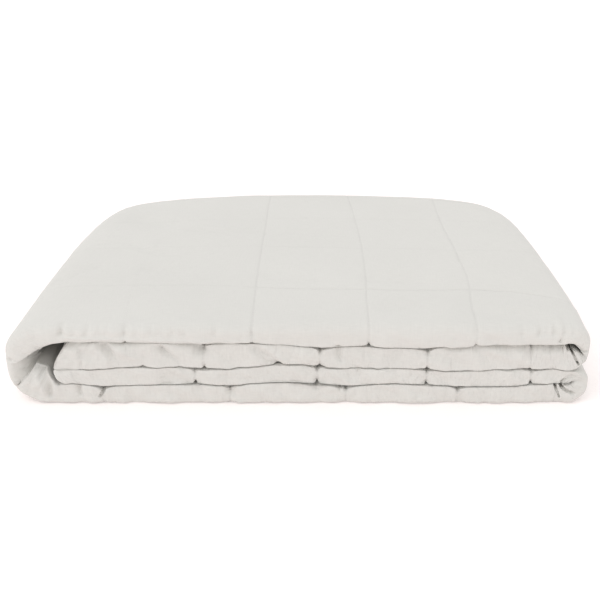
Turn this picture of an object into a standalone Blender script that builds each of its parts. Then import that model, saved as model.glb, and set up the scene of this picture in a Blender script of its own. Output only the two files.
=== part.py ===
"""Quilted weighted blanket, folded in four across its width and then book-folded in four.

The cloth is laid out flat as one closed slab, cut finer where it shows, and then every point of
it is carried to its folded place. In the folded pile +X is right, +Y is away from the front rims
and +Z is up. "u" runs along the blanket's length and "v" across its width.
"""

import math

import bmesh
import bpy
import numpy as np

# Flat cloth, in metres
CELL_LONG = 0.100
CELL_WIDE = 0.094
CELLS_LONG = 20
CELLS_WIDE = 16
BORDER_LONG = 0.016
BORDER_WIDE = 0.010
LENGTH = CELLS_LONG * CELL_LONG + 2 * BORDER_LONG
WIDTH = CELLS_WIDE * CELL_WIDE + 2 * BORDER_WIDE

# Folded pile, in metres
DEPTH = 0.3765
HEIGHT = 0.0745
HEIGHT_LOW = 0.0186
HEIGHT_MIDDLE = 0.0340
HEIGHT_HIGH = 0.0567
LAYER_GAP = 0.0007

# Four sheets share each layer's thickness, as parts of it, with a slit between them
SLIT = 0.028
SHEET = (1 - 3 * SLIT) / 4
SHEET_DEEP = 0.0042
RIM_POWER = 2.2
INNER_RIM = 0.0026
INNER_RIM_BACK = 0.002
BACK_RIM = 0.0024
HEM_THIN = 0.55
HEM_REACH = 0.012

# Where the width's folds fall along v
RIM_START = 0.370
RIM_END = 0.393
BACK_FOLD_START = 0.7585
BACK_FOLD_END = 0.7655
INNER_FOLD_START = 1.1345
INNER_FOLD_END = 1.1415

# Quilting: a wide hollow and a narrow crease along every seam
HOLLOW_DEEP = 0.0009
HOLLOW_WIDE = 0.024
CREASE_DEEP = 0.0011
CREASE_WIDE = 0.008
HIDDEN_FADE = 0.020
FLOOR_FADE = 0.003

# Mesh
STEP_FINE = 0.0125
STEP_TOP = 0.0190
STATION_APART = 0.006
RIM_STEPS = 6
FOLD_STEPS = 3
TURN_STEPS = 8
LOOP_STEPS = 12
RIM_REACH = 0.045

# The length's runs and turns in order. start and end: x on a run, degrees on a turn. centre: x of a
# turn's centre. reach_in, reach_out: how far a turn's inner and outer face stand out from it.
# inner_0, inner_1, outer_0, outer_1: heights of the two faces at the start and at the end. rim: how
# far the front rim rounds. set_back: the rim behind the front. short: the back edge before the back.
COURSE = (
    dict(name="second", start=-0.2075, end=0.222, centre=None, reach_in=0, reach_out=0,
         inner_0=HEIGHT_HIGH, inner_1=HEIGHT_HIGH, outer_0=HEIGHT_MIDDLE, outer_1=HEIGHT_MIDDLE,
         rim=0.0100, set_back=0.0020, short=0.006),
    dict(name="upper_turn", start=-90, end=90, centre=0.222, reach_in=0.0020, reach_out=0.0245,
         inner_0=HEIGHT_HIGH, inner_1=HEIGHT_HIGH, outer_0=HEIGHT_MIDDLE, outer_1=HEIGHT,
         rim=0.0110, set_back=0.0010, short=0.003),
    dict(name="top", start=0.222, end=-0.205, centre=None, reach_in=0, reach_out=0,
         inner_0=HEIGHT_HIGH, inner_1=HEIGHT_HIGH, outer_0=HEIGHT, outer_1=HEIGHT,
         rim=0.0120, set_back=0.0, short=0.0),
    dict(name="loop", start=90, end=270, centre=-0.205, reach_in=0.0215, reach_out=0.0455,
         inner_0=HEIGHT_HIGH, inner_1=HEIGHT_LOW, outer_0=HEIGHT, outer_1=0,
         rim=0.0110, set_back=0.0, short=0.002),
    dict(name="bottom", start=-0.205, end=0.228, centre=None, reach_in=0, reach_out=0,
         inner_0=HEIGHT_LOW, inner_1=HEIGHT_LOW, outer_0=0, outer_1=0,
         rim=0.0100, set_back=0.0, short=0.002),
    dict(name="lower_turn", start=-90, end=90, centre=0.228, reach_in=0.0020, reach_out=0.0210,
         inner_0=HEIGHT_LOW, inner_1=HEIGHT_LOW, outer_0=0, outer_1=HEIGHT_MIDDLE,
         rim=0.0095, set_back=0.0010, short=0.004),
    dict(name="third", start=0.228, end=-0.2075, centre=None, reach_in=0, reach_out=0,
         inner_0=HEIGHT_LOW, inner_1=HEIGHT_LOW, outer_0=HEIGHT_MIDDLE, outer_1=HEIGHT_MIDDLE,
         rim=0.0085, set_back=0.0030, short=0.005),
)
TURN_POWER = 2.7

# Crosswise seams in order along u: the run or turn each lies on, and its x or its angle there
SEAMS = (
    ("second", -0.185), ("second", -0.081), ("second", 0.0165), ("second", 0.107),
    ("second", 0.194), ("upper_turn", -21), ("top", 0.147), ("top", 0.057), ("top", -0.039),
    ("top", -0.1455), ("loop", 172), ("bottom", -0.169), ("bottom", -0.0605), ("bottom", 0.0387),
    ("bottom", 0.134), ("bottom", 0.219), ("third", 0.196), ("third", 0.107), ("third", 0.014),
    ("third", -0.0895), ("third", -0.193),
)

# Heights of the three gap lines between the layers along the front
GAP_LINES = (
    dict(x=-0.207, low=0.0196, middle=0.0325, high=0.0592),
    dict(x=-0.171, low=0.0176, middle=0.0338, high=0.0590),
    dict(x=-0.137, low=0.0186, middle=0.0352, high=0.0584),
    dict(x=-0.103, low=0.0200, middle=0.0348, high=0.0582),
    dict(x=-0.064, low=0.0176, middle=0.0347, high=0.0580),
    dict(x=-0.015, low=0.0204, middle=0.0370, high=0.0566),
    dict(x=0.038, low=0.0166, middle=0.0338, high=0.0550),
    dict(x=0.085, low=0.0196, middle=0.0331, high=0.0547),
    dict(x=0.133, low=0.0166, middle=0.0329, high=0.0551),
    dict(x=0.187, low=0.0186, middle=0.0331, high=0.0565),
    dict(x=0.230, low=0.0190, middle=0.0337, high=0.0572),
)

# How the pile sinks towards its ends and its back, and how its corners are rounded
TOP_CROWN = 0.0015
SINK_FROM = 0.195
SIDE_SINK = 0.05
BACK_SINK = 0.07
CORNER_SINK = 0.12
CORNER_DEEP_LEFT = 0.060
CORNER_DEEP_RIGHT = 0.044
CORNER_WIDE = 0.075
CORNER_MOST = 0.98
BACK_BOW = 0.026
FRONT_BOW = 0.003
HALF_WIDE = 0.247
HALF_DEEP = DEPTH / 2

COTTON = (0.74, 0.72, 0.69, 1.0)
COTTON_ROUGHNESS = 0.9


def ramp(value, low, high):
    """Smooth step from 0 at low to 1 at high."""
    t = np.clip((value - low) / (high - low), 0, 1)
    return t * t * (3 - 2 * t)


def round_power(wave, power):
    """A sine or cosine bent towards a squarer arc."""
    return np.sign(wave) * np.abs(wave) ** (2 / power)


def course_length(part):
    """Length of a run, or of the outer face of a turn."""
    if part["centre"] is None:
        return abs(part["end"] - part["start"])
    half_high = abs(part["outer_1"] - part["outer_0"]) / 2
    return math.pi * math.hypot(part["reach_out"], half_high) / math.sqrt(2)


def course_starts():
    """Distance along the outer face at which each run and turn starts, and the whole."""
    return np.concatenate([[0], np.cumsum([course_length(part) for part in COURSE])])


def seam_places():
    """u of every crosswise seam, and its distance along the outer face, with the two hems."""
    names = [part["name"] for part in COURSE]
    starts = course_starts()
    far = [0.0]
    for name, place in SEAMS:
        part = COURSE[names.index(name)]
        share = (place - part["start"]) / (part["end"] - part["start"])
        far.append(starts[names.index(name)] + share * course_length(part))
    far.append(starts[-1])
    flat = [0.0] + [BORDER_LONG + k * CELL_LONG for k in range(CELLS_LONG + 1)] + [LENGTH]
    return np.array(flat), np.array(far)


def seam_distance(flat, border, pitch, count):
    """Distance from a flat coordinate to the nearest seam of its row."""
    nearest = np.clip(np.round((flat - border) / pitch), 0, count)
    return np.abs(flat - border - nearest * pitch)


def quilting(u, v):
    """Depth of the seams' hollows and creases."""
    deep = np.zeros_like(u)
    for away in (seam_distance(u, BORDER_LONG, CELL_LONG, CELLS_LONG),
                 seam_distance(v, BORDER_WIDE, CELL_WIDE, CELLS_WIDE)):
        hollow = HOLLOW_DEEP * np.exp(-((away / HOLLOW_WIDE) ** 2))
        deep = np.maximum(deep, hollow + CREASE_DEEP * np.exp(-((away / CREASE_WIDE) ** 2)))
    return deep


def across(u, v, side, rim, set_back, short, pressed):
    """Place of a point across the stack: y, and its share of the layer's thickness.

    side is +1 on the outer skin and -1 on the inner one. pressed is how far the outer skin is drawn
    in by the quilting, as a share of the thickness.
    """
    hem = np.minimum(np.minimum(v, WIDTH - v), np.minimum(u, LENGTH - u))
    full = HEM_THIN + (1 - HEM_THIN) * ramp(hem, 0, HEM_REACH)
    skin = side * SHEET / 2 * full - np.where(side > 0, pressed * full ** 3, 0)
    skin_deep = skin / SHEET * SHEET_DEEP
    first, last = 1 - SHEET / 2, SHEET / 2
    third, second = last + SHEET + SLIT, first - SHEET - SLIT
    back = HALF_DEEP - short
    rim_y = -HALF_DEEP + set_back + rim
    inner_y = rim_y + INNER_RIM_BACK
    back_y = back - BACK_RIM - SHEET_DEEP / 2

    def share(low, high):
        return (v - low) / (high - low)

    def arc(low, high):
        angle = math.pi * (share(low, high) - 0.5)
        return np.cos(angle), np.sin(angle)

    rim_cos, rim_sin = arc(RIM_START, RIM_END)
    back_cos, back_sin = arc(BACK_FOLD_START, BACK_FOLD_END)
    inner_cos, inner_sin = arc(INNER_FOLD_START, INNER_FOLD_END)
    zones = [v < RIM_START, v < RIM_END, v < BACK_FOLD_START, v < BACK_FOLD_END,
             v < INNER_FOLD_START, v < INNER_FOLD_END, v >= INNER_FOLD_END]
    y = np.select(zones, [
        back + (rim_y - back) * share(0, RIM_START),
        rim_y - (rim - SHEET_DEEP / 2 + skin_deep) * round_power(np.maximum(rim_cos, 0), RIM_POWER),
        rim_y + (back_y - rim_y) * share(RIM_END, BACK_FOLD_START),
        back_y + (BACK_RIM + skin_deep) * back_cos,
        back_y + (inner_y - back_y) * share(BACK_FOLD_END, INNER_FOLD_START),
        inner_y - (INNER_RIM - skin_deep) * inner_cos,
        inner_y + (back - inner_y) * share(INNER_FOLD_END, WIDTH),
    ])
    level = np.select(zones, [
        first + skin,
        0.5 - (first - 0.5 + skin) * round_power(rim_sin, RIM_POWER),
        last - skin,
        (last + third) / 2 + ((third - last) / 2 + skin) * back_sin,
        third + skin,
        0.5 + ((second - third) / 2 - skin) * inner_sin,
        second - skin,
    ])
    return y, level


def faces(part, end):
    """Heights of a layer's inner and outer face at one end of a run or turn, clear of the next layer."""
    inner, outer = part["inner_" + end], part["outer_" + end]
    clear = math.copysign(LAYER_GAP / 2, outer - inner)
    return inner + clear, outer - clear * (outer == HEIGHT_MIDDLE)


def along(distance):
    """Inner and outer face of the layer at a distance along the course, and its rim's sizes."""
    starts = course_starts()
    place = {key: np.zeros_like(distance) for key in ("x_in", "x_out", "z_in", "z_out")}
    knots, rows = [], []
    for part, low, high in zip(COURSE, starts, starts[1:]):
        here = (distance >= low) & (distance <= high)
        spot = part["start"] + (part["end"] - part["start"]) * (distance[here] - low) / (high - low)
        for side, (level_0, level_1) in zip(("in", "out"), zip(faces(part, "0"), faces(part, "1"))):
            if part["centre"] is None:
                place["x_" + side][here] = spot
                place["z_" + side][here] = level_0
                continue
            sweep = np.radians(spot)
            reach, half = part["reach_" + side], abs(level_1 - level_0) / 2
            place["x_" + side][here] = part["centre"] + reach * round_power(np.cos(sweep), TURN_POWER)
            place["z_" + side][here] = (
                (level_0 + level_1) / 2 + half * round_power(np.sin(sweep), TURN_POWER)
            )
        ends = (low, high) if part["centre"] is None else ((low + high) / 2,)
        knots.extend(ends)
        rows.extend([part] * len(ends))
    for key in ("rim", "set_back", "short"):
        place[key] = np.interp(distance, knots, [row[key] for row in rows])
    return place


def wave(x, y, z):
    """Rise or fall of the outer skin where it follows the wavy gap lines and the low crown."""
    xs = [row["x"] for row in GAP_LINES]
    shifts = [np.zeros_like(x)]
    for key, level in (("low", HEIGHT_LOW), ("middle", HEIGHT_MIDDLE), ("high", HEIGHT_HIGH)):
        shifts.append(np.interp(x, xs, [row[key] - level for row in GAP_LINES]))
    shifts.append(np.zeros_like(x))
    levels = (0, HEIGHT_LOW, HEIGHT_MIDDLE, HEIGHT_HIGH, HEIGHT)
    shift = np.zeros_like(z)
    for low, high, below, above in zip(levels, levels[1:], shifts, shifts[1:]):
        part = (z - low) / (high - low)
        shift = np.where((z >= low) & (z <= high), below + (above - below) * part, shift)
    back = np.clip(y / HALF_DEEP, 0, 1)
    crown = TOP_CROWN * (1 - (1 + back) * (x / HALF_WIDE) ** 2) * ramp(z, HEIGHT_HIGH, HEIGHT)
    return shift * (1 - ramp(y, -HALF_DEEP, -HALF_DEEP + RIM_REACH)) + crown


def settle(x, y, z):
    """The pile sinks towards its sides and back, and its corners are rounded."""
    side = np.clip((np.abs(x) - SINK_FROM) / (HALF_WIDE - SINK_FROM), 0, 1)
    back = np.clip(y / HALF_DEEP, 0, 1)
    z = z * (1 - SIDE_SINK * side ** 2 - BACK_SINK * back ** 2 - CORNER_SINK * side ** 3 * back ** 2)
    turned = np.clip((np.abs(x) - HALF_WIDE + CORNER_WIDE) / CORNER_WIDE, 0, CORNER_MOST)
    corner = np.where(x < 0, CORNER_DEEP_LEFT, CORNER_DEEP_RIGHT)
    drawn = BACK_BOW * (x / HALF_WIDE) ** 2 + corner * (1 - np.sqrt(1 - turned ** 2))
    front = np.clip(-y / HALF_DEEP, 0, 1)
    return x, y - drawn * back ** 2 + FRONT_BOW * side ** 2 * front ** 2, z


def shown(u, v):
    """1 where the quilting shows: on the top, around the turns and on the front rims; 0 inside."""
    flat, far = seam_places()
    ends = np.interp(course_starts(), far, flat)
    outside = np.zeros_like(u)
    for low, high in ((ends[1], ends[4]), (ends[5], ends[6])):
        outside = np.maximum(outside, ramp(u, low - HIDDEN_FADE, low) * ramp(-u, -high - HIDDEN_FADE, -high))
    rim = ramp(v, RIM_START - HIDDEN_FADE, RIM_START)
    return np.maximum(outside, rim) * ramp(-v, -RIM_END - HIDDEN_FADE, -RIM_END)


def fold(u, v, side):
    """Folded place of every point of the flat cloth."""
    flat, far = seam_places()
    place = along(np.interp(u, flat, far))
    high = np.hypot(place["x_out"] - place["x_in"], place["z_out"] - place["z_in"])
    deep = quilting(u, v) * shown(u, v)
    for _ in range(2):
        y, level = across(u, v, side, place["rim"], place["set_back"], place["short"], deep / high)
        z = place["z_in"] + (place["z_out"] - place["z_in"]) * level
        deep = deep * np.clip(z / FLOOR_FADE, 0, 1)
    x = place["x_in"] + (place["x_out"] - place["x_in"]) * level
    outer = (side > 0) & (v < RIM_END + RIM_REACH)
    return settle(x, y, z + np.where(outer, wave(x, y, z), 0))


def stations(lines, folds):
    """Grid lines of the flat cloth: its seams, and steps along each fold."""
    chosen = []
    for value in sorted(lines):
        if all(not low - STATION_APART < value < high + STATION_APART for low, high, _ in folds):
            chosen.append(value)
    for low, high, steps in folds:
        chosen.extend(low + (high - low) * k / steps for k in range(steps + 1))
    return sorted(chosen)


def length_stations():
    """Grid lines along u."""
    flat, far = seam_places()
    starts = course_starts()
    lines = [0, *(BORDER_LONG + CELL_LONG * k for k in range(CELLS_LONG + 1)), LENGTH]
    turns = []
    for part, low, high in zip(COURSE, starts, starts[1:]):
        if part["centre"] is not None:
            steps = LOOP_STEPS if part["name"] == "loop" else TURN_STEPS
            turns.append((*np.interp((low, high), far, flat), steps))
        elif part["name"] in ("top", "bottom"):
            sinking = low + abs(SINK_FROM - part["start"])
            if part["name"] == "bottom":
                sinking = high - abs(part["end"] - SINK_FROM)
            lines.append(float(np.interp(sinking, far, flat)))
    return stations(lines, turns)


def width_stations():
    """Grid lines along v."""
    seams = [BORDER_WIDE + CELL_WIDE * k for k in range(CELLS_WIDE + 1)]
    near_rim = [RIM_START - RIM_REACH, RIM_END + RIM_REACH]
    folds = [(RIM_START, RIM_END, RIM_STEPS), (BACK_FOLD_START, BACK_FOLD_END, FOLD_STEPS),
             (INNER_FOLD_START, INNER_FOLD_END, FOLD_STEPS)]
    return stations([0, *seams[1:-1], *near_rim, WIDTH], folds)


def flat_cloth(bm):
    """The blanket laid out flat, as a closed slab with its outer skin up."""
    long_lines, wide_lines = length_stations(), width_stations()
    bmesh.ops.create_grid(bm, x_segments=len(long_lines) - 1, y_segments=len(wide_lines) - 1, size=0.5)
    for vert in bm.verts:
        column = round((vert.co.x + 0.5) * (len(long_lines) - 1))
        row = round((vert.co.y + 0.5) * (len(wide_lines) - 1))
        vert.co = (long_lines[column], wide_lines[row], SHEET_DEEP)
    bmesh.ops.solidify(bm, geom=bm.faces[:], thickness=SHEET_DEEP)
    bmesh.ops.recalc_face_normals(bm, faces=bm.faces[:])
    bm.normal_update()


def refine(bm, chosen, axis, step):
    """Cuts the chosen skin faces' edges along one axis down to the given step."""
    edges = {}
    for face in bm.faces:
        if face.normal.z < 0.5 or not chosen(face.calc_center_median()):
            continue
        for edge in face.edges:
            run = abs(edge.verts[0].co[axis] - edge.verts[1].co[axis])
            cuts = math.ceil(run / step - 0.01) - 1
            if cuts > 0:
                edges.setdefault(cuts, set()).add(edge)
    for cuts, group in sorted(edges.items()):
        bmesh.ops.subdivide_edges(bm, edges=list(group), cuts=cuts, use_grid_fill=True)


def make_blanket():
    """The whole blanket as one folded solid."""
    flat, far = seam_places()
    ends = np.interp(course_starts(), far, flat)
    bm = bmesh.new()
    flat_cloth(bm)

    def on_top(place):
        return ends[1] < place.x < ends[4] and place.y < RIM_START

    def on_rim(place):
        return RIM_START - RIM_REACH < place.y < RIM_END + RIM_REACH

    refine(bm, lambda place: on_top(place) or on_rim(place), 0, STEP_FINE)
    refine(bm, on_top, 1, STEP_TOP)
    bmesh.ops.triangulate(bm, faces=bm.faces[:])
    places = np.array([vert.co for vert in bm.verts])
    side = np.where(places[:, 2] > SHEET_DEEP / 2, 1.0, -1.0)
    folded = np.stack(fold(places[:, 0], places[:, 1], side), axis=1)
    low, high = folded.min(axis=0), folded.max(axis=0)
    folded -= ((low[0] + high[0]) / 2, (low[1] + high[1]) / 2, low[2])
    for vert, place in zip(bm.verts, folded):
        vert.co = place
    mesh = bpy.data.meshes.new("blanket")
    bm.to_mesh(mesh)
    bm.free()
    mesh.shade_smooth()
    blanket = bpy.data.objects.new("blanket", mesh)
    bpy.context.scene.collection.objects.link(blanket)
    return blanket


def cotton():
    """Off-white cotton cloth."""
    material = bpy.data.materials.new("cotton")
    material.use_nodes = True
    shader = material.node_tree.nodes["Principled BSDF"]
    shader.inputs["Base Color"].default_value = COTTON
    shader.inputs["Roughness"].default_value = COTTON_ROUGHNESS
    shader.inputs["Metallic"].default_value = 0.0
    return material


def main():
    """Clears the scene and makes the blanket."""
    for old in list(bpy.data.objects):
        bpy.data.objects.remove(old, do_unlink=True)
    make_blanket().data.materials.append(cotton())


main()
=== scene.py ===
"""Dressed model of a folded weighted blanket, with its floor, lights and camera.

The quilted cotton cloth is laid out flat as a closed slab, cut finely where it shows and carried to its
folded place along a course of runs and turns, as the plain solid is. The seams' creases, the notches of
the front rims, the gathers and the larger wrinkles are then pressed into it by listed tables. In
the folded pile +X is right, +Y is away from the front rims and +Z is up. "u" runs along the blanket's
length and "v" across its width, and the cloth's UV map holds them in metres.
"""

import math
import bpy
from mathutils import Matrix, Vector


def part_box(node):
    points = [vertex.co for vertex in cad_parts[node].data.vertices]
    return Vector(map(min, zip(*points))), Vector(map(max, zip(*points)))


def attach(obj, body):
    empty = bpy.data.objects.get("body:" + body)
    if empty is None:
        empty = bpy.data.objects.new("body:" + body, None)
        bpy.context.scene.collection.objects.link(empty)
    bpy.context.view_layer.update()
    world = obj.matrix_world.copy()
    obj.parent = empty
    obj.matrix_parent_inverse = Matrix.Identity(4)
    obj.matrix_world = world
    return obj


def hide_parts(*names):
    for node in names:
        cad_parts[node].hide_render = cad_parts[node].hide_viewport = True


bl_info = {
    "name": "Folded Weighted Blanket",
    "version": (1, 0, 0),
    "blender": (4, 5, 0),
    "location": "3D View > Sidebar > Blanket",
    "description": "Makes a folded quilted blanket of cotton on a plain floor under soft light",
    "category": "Object",
}

import bmesh
import bpy
import numpy as np
from mathutils import Vector, noise

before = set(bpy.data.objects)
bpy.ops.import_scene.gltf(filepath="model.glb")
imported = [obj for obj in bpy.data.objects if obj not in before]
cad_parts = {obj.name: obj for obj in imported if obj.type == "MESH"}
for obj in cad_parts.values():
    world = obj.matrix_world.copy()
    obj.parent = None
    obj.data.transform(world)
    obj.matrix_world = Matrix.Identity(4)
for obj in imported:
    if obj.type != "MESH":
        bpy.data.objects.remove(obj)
CAD_LOW, CAD_HIGH = (np.array(corner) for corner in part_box("blanket"))

# Flat cloth, in metres
CELL_LONG = 0.100
CELL_WIDE = 0.094
CELLS_LONG = 20
CELLS_WIDE = 16
BORDER_LONG = 0.016
BORDER_WIDE = 0.010
LENGTH = CELLS_LONG * CELL_LONG + 2 * BORDER_LONG
WIDTH = CELLS_WIDE * CELL_WIDE + 2 * BORDER_WIDE

# Folded pile, in metres
DEPTH = 0.3765
HEIGHT = 0.0745
HEIGHT_LOW = 0.0186
HEIGHT_MIDDLE = 0.0340
HEIGHT_HIGH = 0.0567
LAYER_GAP = 0.0002

# Four sheets share each layer's thickness, as parts of it, with a slit between them
SLIT = 0.028
SHEET = (1 - 3 * SLIT) / 4
SHEET_DEEP = 0.0042
INNER_RIM = 0.0026
INNER_RIM_BACK = 0.002
BACK_RIM = 0.0024
HEM_THIN = 0.55
HEM_REACH = 0.012
HEM_ROUND = 0.0015

# Where the width's folds fall along v
RIM_START = 0.367
RIM_END = 0.390
BACK_FOLD_START = 0.7585
BACK_FOLD_END = 0.7655
INNER_FOLD_START = 1.1345
INNER_FOLD_END = 1.1415

# The length's runs and turns in order. start and end: x on a run, degrees on a turn. centre: x of a
# turn's centre. reach_in, reach_out: how far a turn's inner and outer face stand out from it.
# power_in, power_out: how square the two are. inner_0, inner_1, outer_0, outer_1: heights of the two
# faces at the start and at the end. rim: how far the front rim rounds. square_in, square_out: how square
# its rounding is towards the inner and the outer face. set_back: the rim behind the front. short: the
# back edge before the back.
COURSE = (
    dict(name="second", start=-0.2075, end=0.222, centre=None,
         inner_0=HEIGHT_HIGH, inner_1=HEIGHT_HIGH, outer_0=HEIGHT_MIDDLE, outer_1=HEIGHT_MIDDLE,
         rim=0.0095, square_in=14.0, square_out=17.0, set_back=0.0014, short=0.006),
    dict(name="upper_turn", start=-90, end=90, centre=0.222,
         reach_in=0.0020, reach_out=0.0243, power_in=2.4, power_out=2.9,
         inner_0=HEIGHT_HIGH, inner_1=HEIGHT_HIGH, outer_0=HEIGHT_MIDDLE, outer_1=HEIGHT,
         rim=0.0110, square_in=3.6, square_out=2.8, set_back=0.0010, short=0.003),
    dict(name="top", start=0.222, end=-0.205, centre=None,
         inner_0=HEIGHT_HIGH, inner_1=HEIGHT_HIGH, outer_0=HEIGHT, outer_1=HEIGHT,
         rim=0.0120, square_in=12.0, square_out=2.3, set_back=0.0, short=0.0),
    dict(name="loop", start=90, end=270, centre=-0.205,
         reach_in=0.0215, reach_out=0.0459, power_in=1.5, power_out=2.9,
         inner_0=HEIGHT_HIGH, inner_1=HEIGHT_LOW, outer_0=HEIGHT, outer_1=0,
         rim=0.0120, square_in=1.9, square_out=2.8, set_back=0.0, short=0.002),
    dict(name="bottom", start=-0.205, end=0.228, centre=None,
         inner_0=HEIGHT_LOW, inner_1=HEIGHT_LOW, outer_0=0, outer_1=0,
         rim=0.0095, square_in=15.0, square_out=4.2, set_back=0.0012, short=0.002),
    dict(name="lower_turn", start=-90, end=90, centre=0.228,
         reach_in=0.0020, reach_out=0.0213, power_in=2.4, power_out=2.9,
         inner_0=HEIGHT_LOW, inner_1=HEIGHT_LOW, outer_0=0, outer_1=HEIGHT_MIDDLE,
         rim=0.0095, square_in=3.6, square_out=3.0, set_back=0.0010, short=0.004),
    dict(name="third", start=0.228, end=-0.2075, centre=None,
         inner_0=HEIGHT_LOW, inner_1=HEIGHT_LOW, outer_0=HEIGHT_MIDDLE, outer_1=HEIGHT_MIDDLE,
         rim=0.0085, square_in=17.0, square_out=17.0, set_back=0.0018, short=0.005),
)
TURN_KNOTS = (0.2, 0.8)

# Crosswise seams in order along u: the run or turn each lies on, its x or its angle there, how sharp
# its crease is, and how far it notches the front rim's upper and lower edge. FAINT_SEAM: the number of
# the one whose stitches hardly show
SEAMS = (
    ("second", -0.185, 0.30, 0.0, 0.0), ("second", -0.081, 0.5, 1.0, 0.20),
    ("second", 0.0165, 0.4, 1.0, 0.25), ("second", 0.107, 0.4, 1.0, 0.20), ("second", 0.194, 0.5, 0.6, 0.05),
    ("upper_turn", -21, 0.1, 0.0, 0.0), ("top", 0.147, 0.35, 0.0, 0.2), ("top", 0.057, 0.35, 0.0, 0.30),
    ("top", -0.039, 0.4, 0.0, 0.05), ("top", -0.1455, 0.04, 0.0, 0.15), ("loop", 172, 0.2, 0.0, 0.0),
    ("bottom", -0.169, 0.4, 1.0, 0.1), ("bottom", -0.0605, 0.3, 0.9, 0.1), ("bottom", 0.0387, 0.3, 1.0, 0.05),
    ("bottom", 0.134, 0.3, 0.9, 0.05), ("bottom", 0.219, 0.0, 0.0, 0.0), ("third", 0.196, 0.5, 0.45, 0.45),
    ("third", 0.107, 0.3, 0.65, 0.45), ("third", 0.014, 0.4, 0.65, 0.55), ("third", -0.0895, 0.4, 0.45, 0.50),
    ("third", -0.193, 0.0, 0.0, 0.0),
)
FAINT_SEAM = 9

# Further places where a small fold opens a run's front edge: the run, its x there, how wide it is against
# a seam's notch, and how far it opens the upper and the lower edge
NICKS = (
    ("second", 0.2110, 1.6, 0.35, 0.0), ("second", -0.0185, 2.2, 0.0, 0.35),
    ("second", -0.1322, 0.5, 0.0, 0.3), ("bottom", 0.0125, 1.6, 0.6, 0.0),
    ("bottom", 0.0335, 0.9, 0.5, 0.0),
)
# How the black point of a notch grows towards the layer's edge, as a power of the height
GROOVE_POWER = 1.6

# Lengthwise seams: how sharp the creases are, by their number from the first hem. FADE_FROM to FADE_TO:
# where they fade to the share FADED on the top's left, and TURN_FADE_FROM to TURN_FADE_TO: at the right
LONG_SEAMS = {0: 0.8, 1: 0.08, 2: 0.08, 3: 0.75, 4: 0.10}
# Share of a full hollow that stays along a seam with no crease
HOLLOW_LEAST = 0.25
FADE_FROM, FADE_TO, FADED = -0.030, -0.060, 0.1
TURN_FADE_FROM, TURN_FADE_TO = 0.205, 0.230

# Drift of the top's seams: x of each crosswise seam at some depths, and y of each lengthwise seam at
# some places along the pile, away from where the straight cloth would have them
DRIFT_DEPTHS = (-0.188, -0.130, -0.070, 0.000, 0.060, 0.120, 0.188)
CROSS_DRIFT = (
    (-0.205, (0, 0, 0, 0, 0, 0, 0)),
    (-0.1455, (0, -0.006, -0.010, -0.006, 0, -0.002, -0.003)),
    (-0.039, (-0.001, -0.002, -0.003, -0.0035, -0.0035, -0.0045, -0.0045)),
    (0.057, (0.0002, 0.0005, 0.0025, 0.0027, 0.001, -0.002, -0.006)),
    (0.147, (-0.0008, 0.002, 0.0075, 0.0070, 0.0055, 0.0060, 0.0090)),
    (0.222, (0, 0, 0, 0, 0, 0, 0)),
)
DRIFT_PLACES = (-0.205, -0.100, -0.040, 0.017, 0.081, 0.153, 0.185, 0.222, 0.240)
LONG_DRIFT = (
    (-0.150, (0, 0, 0, 0, 0, 0, 0, 0, 0)),
    (-0.099, (-0.001, -0.001, -0.005, -0.0075, -0.010, -0.009, -0.0125, -0.025, -0.030)),
    (-0.006, (0, 0.003, 0.005, 0, -0.003, -0.006, -0.006, -0.006, -0.006)),
    (0.086, (0, -0.003, -0.001, 0, 0, -0.004, -0.004, -0.004, -0.004)),
    (0.165, (0, 0, 0, 0, 0, 0, 0, 0, 0)),
)

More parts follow.
